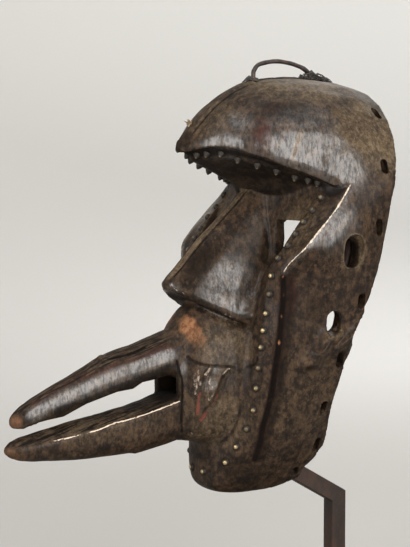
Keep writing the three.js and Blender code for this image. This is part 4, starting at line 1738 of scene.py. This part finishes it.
@dataclass
class TopLoop:
    """The hand-bent wire loop on the crown; its route is along and up, in millimetres."""

    radius_mm: float = 1.55
    sides: int = 16
    dent_mm: float = 0.06
    route_mm: tuple[tuple[float, float], ...] = (
        (36.5, 112), (36.5, 122), (36.5, 129), (37.1, 132.2), (41, 136.2), (52.5, 138.7), (63.5, 138.1),
        (71, 136.5), (77, 134), (82.5, 129), (82.5, 122), (82.5, 112),
    )

    def build(self) -> bpy.types.Object:
        """Makes the piece: a round wire that wavers a little sideways and in thickness, and is dented along
        its length.

        Returns:
            The piece.
        """
        line = smooth_line([(0, y, z) for y, z in self.route_mm], 9)
        wobble = ripple(line, 9, seed=21)
        points = [at(0.25 * w, y, z) for w, (_, y, z) in zip(wobble, line)]
        radii = [self.radius_mm * MM * (0.97 + 0.06 * w) for w in ripple(line, 5, seed=22)]
        mesh = strands([(points, radii)], self.sides)
        places = positions(mesh)
        dents = ripple(to_own_mm(places), 4, seed=23)[:, None]
        move_to(mesh, places + normals(mesh) * dents * self.dent_mm * MM)
        mesh.materials.append(WroughtIron().material())
        return new_piece("crown_loop", mesh, ["top_loop"])


@dataclass
class FibreScraps:
    """Matted fibre: the knot behind the loop, wisps along the crown, and the tuft on the forehead.

    Each of the knot's steps is a place along the crown, and half the knot's width and its height there.
    """

    seed: int = 5
    sides: int = 8
    knot_strands: int = 90
    knot_points: int = 7
    knot_ends: tuple[float, float] = (73.5, 100.5)
    knot_steps: tuple[tuple[float, float, float], ...] = (
        (75, 2.0, 2.0), (78.5, 3.6, 3.4), (83, 4.6, 4.4), (88, 4.6, 3.8), (93, 4.0, 2.8), (98, 2.2, 1.6),
    )
    long_wisps: int = 16
    long_wisp_points: int = 12
    foot_wisps: int = 60
    loop_foot: float = 35
    tuft_strands: int = 80
    tuft_reach_mm: float = 2.6
    tuft_place: tuple[float, float] = (-1.5, -11.5)

    def on_wood(self, wood: BVHTree, x: float, y: float, lift_mm: float) -> Vector:
        """A place just over the crown.

        Args:
            wood: The carved surface.
            x: Across, in millimetres.
            y: Along, in millimetres.
            lift_mm: How far over the wood.

        Returns:
            The place.
        """
        hit = wood.ray_cast(at(x, y, 170), Vector((0, 0, -1)), 0.1)[0]
        return (hit or at(x, y, 126)) + Vector((0, 0, lift_mm * MM))

    def build(self, carving: bpy.types.Object) -> None:
        """Makes the pieces.

        Args:
            carving: The carved mask, which they lie on.
        """
        wood = BVHTree.FromObject(carving, bpy.context.evaluated_depsgraph_get())
        draw = np.random.default_rng(self.seed)
        mesh = strands(self.knot(wood, draw) + self.wisps(wood, draw), self.sides)
        mesh.materials.append(PlantFibre().material())
        new_piece("loop_lashing_fibre", mesh, ["loop_lashing"])
        self.tuft(wood, draw)

    def knot(self, wood: BVHTree, draw: np.random.Generator) -> list[Strand]:
        """The knot behind the loop: thick and thin strands that wind over and along each other.

        Args:
            wood: The carved surface.
            draw: Where the random draws come from.

        Returns:
            The strands.
        """
        routes = []
        last = self.knot_points - 1
        for _ in range(self.knot_strands):
            y0, half_width, height = self.knot_steps[int(draw.integers(0, len(self.knot_steps)))]
            length = draw.uniform(6, 16)
            x, y = draw.uniform(-half_width, half_width), y0 + draw.uniform(-2.5, 2.5)
            lift = draw.uniform(0.2, 1.5) * height
            heading = draw.normal(0, 0.7)
            points = []
            for k in range(self.knot_points):
                t = k / last - 0.5
                across = x + math.sin(heading + t) * length * t * 0.55
                along = float(np.clip(y + math.cos(heading) * length * t, *self.knot_ends))
                points.append(self.on_wood(wood, across, along, max(0.1, lift * (1 - 2.6 * t * t))))
            thick = draw.uniform(0.28, 0.8)
            radii = [thick * MM * (1 - abs(k / 3 - 1) * 0.7) for k in range(self.knot_points)]
            routes.append((points, radii))
        return routes

    def wisps(self, wood: BVHTree, draw: np.random.Generator) -> list[Strand]:
        """Thin dark scraps that lie on the crown between the loop's feet and round its front foot.

        Args:
            wood: The carved surface.
            draw: Where the random draws come from.

        Returns:
            The strands.
        """
        routes = []
        for _ in range(self.long_wisps):
            start, end = draw.uniform(36, 58), draw.uniform(62, 80)
            drift, x = draw.uniform(-1.6, 1.6), draw.uniform(-2.0, 2.0)
            points = []
            for k, y in enumerate(np.linspace(start, end, self.long_wisp_points)):
                lift = 0.35 + 0.25 * math.sin(k)
                points.append(self.on_wood(wood, x + drift * math.sin(k * 0.6), y, lift))
            routes.append((points, [draw.uniform(0.3, 0.65) * MM] * self.long_wisp_points))
        for _ in range(self.foot_wisps):
            turn, reach = draw.uniform(0, 2 * math.pi), draw.uniform(2.0, 9.0)
            steps = range(6)
            points = []
            for k in steps:
                away = 1.3 + reach * k / 8
                x = 0.6 * math.cos(turn + 0.35 * k) * away
                y = math.sin(turn + 0.35 * k) * away
                points.append(self.on_wood(wood, x, self.loop_foot + y, max(0.2, 3.4 - 0.6 * k)))
            routes.append((points, [draw.uniform(0.3, 0.7) * MM * (1 - k / 8) for k in steps]))
        return routes

    def tuft(self, wood: BVHTree, draw: np.random.Generator) -> None:
        """Makes the tuft of cream fluff that is caught on the forehead's band.

        Args:
            wood: The carved surface.
            draw: Where the random draws come from.
        """
        x, y = self.tuft_place
        hit, facing = wood.ray_cast(at(x, y - 60, 170), Vector((0, 60, -72)).normalized(), 0.3)[:2]
        routes = []
        for _ in range(self.tuft_strands):
            way = (facing * 0.8 + Vector(draw.normal(0, 0.75, 3))).normalized()
            bend = Vector(draw.normal(0, 0.5, 3))
            length = draw.uniform(0.5, 1.0) * self.tuft_reach_mm * MM
            points = []
            for t in (0, 0.25, 0.5, 0.75, 1):
                points.append(hit + way * length * t + bend * length * t * t * 0.8 + facing * 0.2 * MM)
            routes.append((points, [draw.uniform(0.35, 0.7) * MM * f for f in (1, 1, 0.85, 0.6, 0.25)]))
        mesh = strands(routes, self.sides)
        cream = PlantFibre("cream_fluff", (0.13, 0.085, 0.045), (0.55, 0.47, 0.33))
        mesh.materials.append(cream.material())
        new_piece("forehead_tuft", mesh)


# The stand


@dataclass
class Stand:
    """The bent bar, the fork inside the hollow and the foot plate.

    The fork's half is its route from the middle to the end of the left arm, on the mask.
    """

    edge_mm: float = 0.5
    flat_degrees: float = 1
    edge_degrees: float = 25
    sharp_degrees: float = 35
    fork_radius_mm: float = 3.0
    fork_sides: int = 20
    fork_half_mm: tuple[Point, ...] = (
        (0, 47, -6), (28, 48, -6), (48, 53, -6), (58, 64, 0), (61, 71, 16), (61, 71, 50), (54, 66, 80),
        (48, 61, 105),
    )

    def build(self) -> None:
        """Makes the stand's pieces."""
        steel = StandSteel().material()
        for node in ("stand_bar", "stand_foot"):
            bm = cad_copy(node)
            limit = math.radians(self.flat_degrees)
            bmesh.ops.dissolve_limit(bm, angle_limit=limit, verts=bm.verts, edges=bm.edges)
            bmesh.ops.bevel(
                bm,
                geom=[e for e in bm.edges if e.calc_face_angle(0.0) > math.radians(self.edge_degrees)],
                offset=self.edge_mm * MM,
                affect="EDGES",
                segments=2,
                profile=0.5,
                material=-1,
                clamp_overlap=True,
            )
            bmesh.ops.triangulate(bm, faces=[f for f in bm.faces if len(f.verts) > 4])
            mesh = mesh_of(bm, node)
            mesh.materials.append(steel)
            piece = new_piece(f"{node}_steel", mesh, [node])
            piece.data.set_sharp_from_angle(angle=math.radians(self.sharp_degrees))
        other_half = [(-x, y, z) for x, y, z in reversed(self.fork_half_mm[1:])]
        points = [at(*place) for place in smooth_line([*other_half, *self.fork_half_mm], 7)]
        mesh = strands([(points, [self.fork_radius_mm * MM] * len(points))], self.fork_sides)
        mesh.materials.append(steel)
        new_piece("stand_fork_steel", mesh, ["stand_fork"])


# The studio


@dataclass(frozen=True)
class SoftLight:
    """A soft rectangular light: where it stands round the mask, its size and its strength."""

    name: str
    azimuth: float
    elevation: float
    distance: float
    width: float
    height: float
    power: float
    colour: Colour = (1.0, 1.0, 1.0)


@dataclass
class Studio:
    """A seamless pale sweep, soft lights and the camera at the photograph's angle."""

    azimuth: float = 60.0
    elevation: float = 4.0
    distance: float = 1.0
    pixel_mm: float = 0.65
    sensor_mm: float = 36.0
    floor_radius: float = 1.5
    wall_radius: float = 3.2
    wall_height: float = 3.6
    below_foot: float = 0.0002
    room_colour: tuple[float, float, float, float] = (1.0, 0.985, 0.965, 1.0)
    room_strength: float = 0.42
    lights: tuple[SoftLight, ...] = (
        SoftLight("key_right", 87, 16, 1.3, 1.3, 1.05, 29, (1.0, 0.975, 0.95)),
        SoftLight("fill_left", 8, 13, 1.35, 0.8, 0.98, 17, (1.0, 0.975, 0.95)),
        SoftLight("top", 60, 84, 1.5, 1.4, 1.4, 14, (1.0, 0.985, 0.96)),
        SoftLight("back", 215, 35, 1.8, 1.2, 1.2, 14),
    )

    @staticmethod
    def direction(azimuth: float, elevation: float) -> Vector:
        """The way from the mask towards a place round it.

        Args:
            azimuth: How far round from its front, in degrees.
            elevation: How far up, in degrees.

        Returns:
            A direction of length 1.
        """
        a, e = math.radians(azimuth), math.radians(elevation)
        return Vector((math.sin(a) * math.cos(e), -math.cos(a) * math.cos(e), math.sin(e)))

    def build(self) -> None:
        """Makes the sweep, the lights, the world's soft light and the camera."""
        self.camera()
        self.sweep()
        for light in self.lights:
            data = bpy.data.lights.new(light.name, "AREA")
            data.shape = "RECTANGLE"
            data.size, data.size_y = light.width, light.height
            data.energy, data.color = light.power, light.colour
            lamp = linked(light.name, data)
            way = self.direction(light.azimuth, light.elevation)
            lamp.location = MASK_ORIGIN + way * light.distance
            lamp.rotation_euler = (-way).to_track_quat("-Z", "Y").to_euler()
            lamp.visible_camera = False
        world = bpy.data.worlds.new("soft_room")
        world.use_nodes = True
        background = world.node_tree.nodes["Background"]
        background.inputs["Color"].default_value = self.room_colour
        background.inputs["Strength"].default_value = self.room_strength
        bpy.context.scene.world = world
        bpy.context.scene.view_settings.view_transform = "Standard"
        bpy.context.scene.view_settings.look = "None"

    def camera(self) -> None:
        """Makes the camera, so that the picture's height takes in the photograph's."""
        data = bpy.data.cameras.new("camera")
        data.sensor_fit = "VERTICAL"
        data.sensor_height = self.sensor_mm
        data.sensor_width = self.sensor_mm * IMAGE_WIDTH / IMAGE_HEIGHT
        data.lens = self.sensor_mm * self.distance / (IMAGE_HEIGHT * self.pixel_mm * MM)
        camera = linked("camera", data)
        back = self.direction(self.azimuth, self.elevation)
        camera.location = MASK_ORIGIN + back * self.distance
        camera.rotation_euler = (-back).to_track_quat("-Z", "Y").to_euler()
        bpy.context.scene.camera = camera

    def sweep(self) -> None:
        """Makes the floor, which curves up into a wall all round."""
        radius = self.wall_radius - self.floor_radius
        profile = [(0.0, 0.0), (0.5, 0.0)]
        for turn in np.linspace(0, math.pi / 2, 13):
            profile.append((self.floor_radius + radius * math.sin(turn), radius * (1 - math.cos(turn))))
        profile.append((self.wall_radius, self.wall_height))
        bm = turned([(away, height - self.below_foot) for away, height in profile], 96)
        if bm.faces[:][0].normal.z < 0:
            bmesh.ops.reverse_faces(bm, faces=bm.faces)
        mesh = mesh_of(bm, "sweep")
        mesh.shade_smooth()
        mesh.materials.append(StudioPaper().material())
        linked("paper_sweep", mesh)


def main() -> None:
    """Builds the camera and studio, then the carving, its tacks, loop and fibre, and the stand."""
    logging.basicConfig(level=logging.INFO, format="%(message)s")
    Studio().build()
    tacks = TackRows()
    carving = CarvedMask().build(tacks)
    tacks.build(carving)
    TopLoop().build()
    FibreScraps().build(carving)
    Stand().build()


if __name__ == "__main__":
    main()
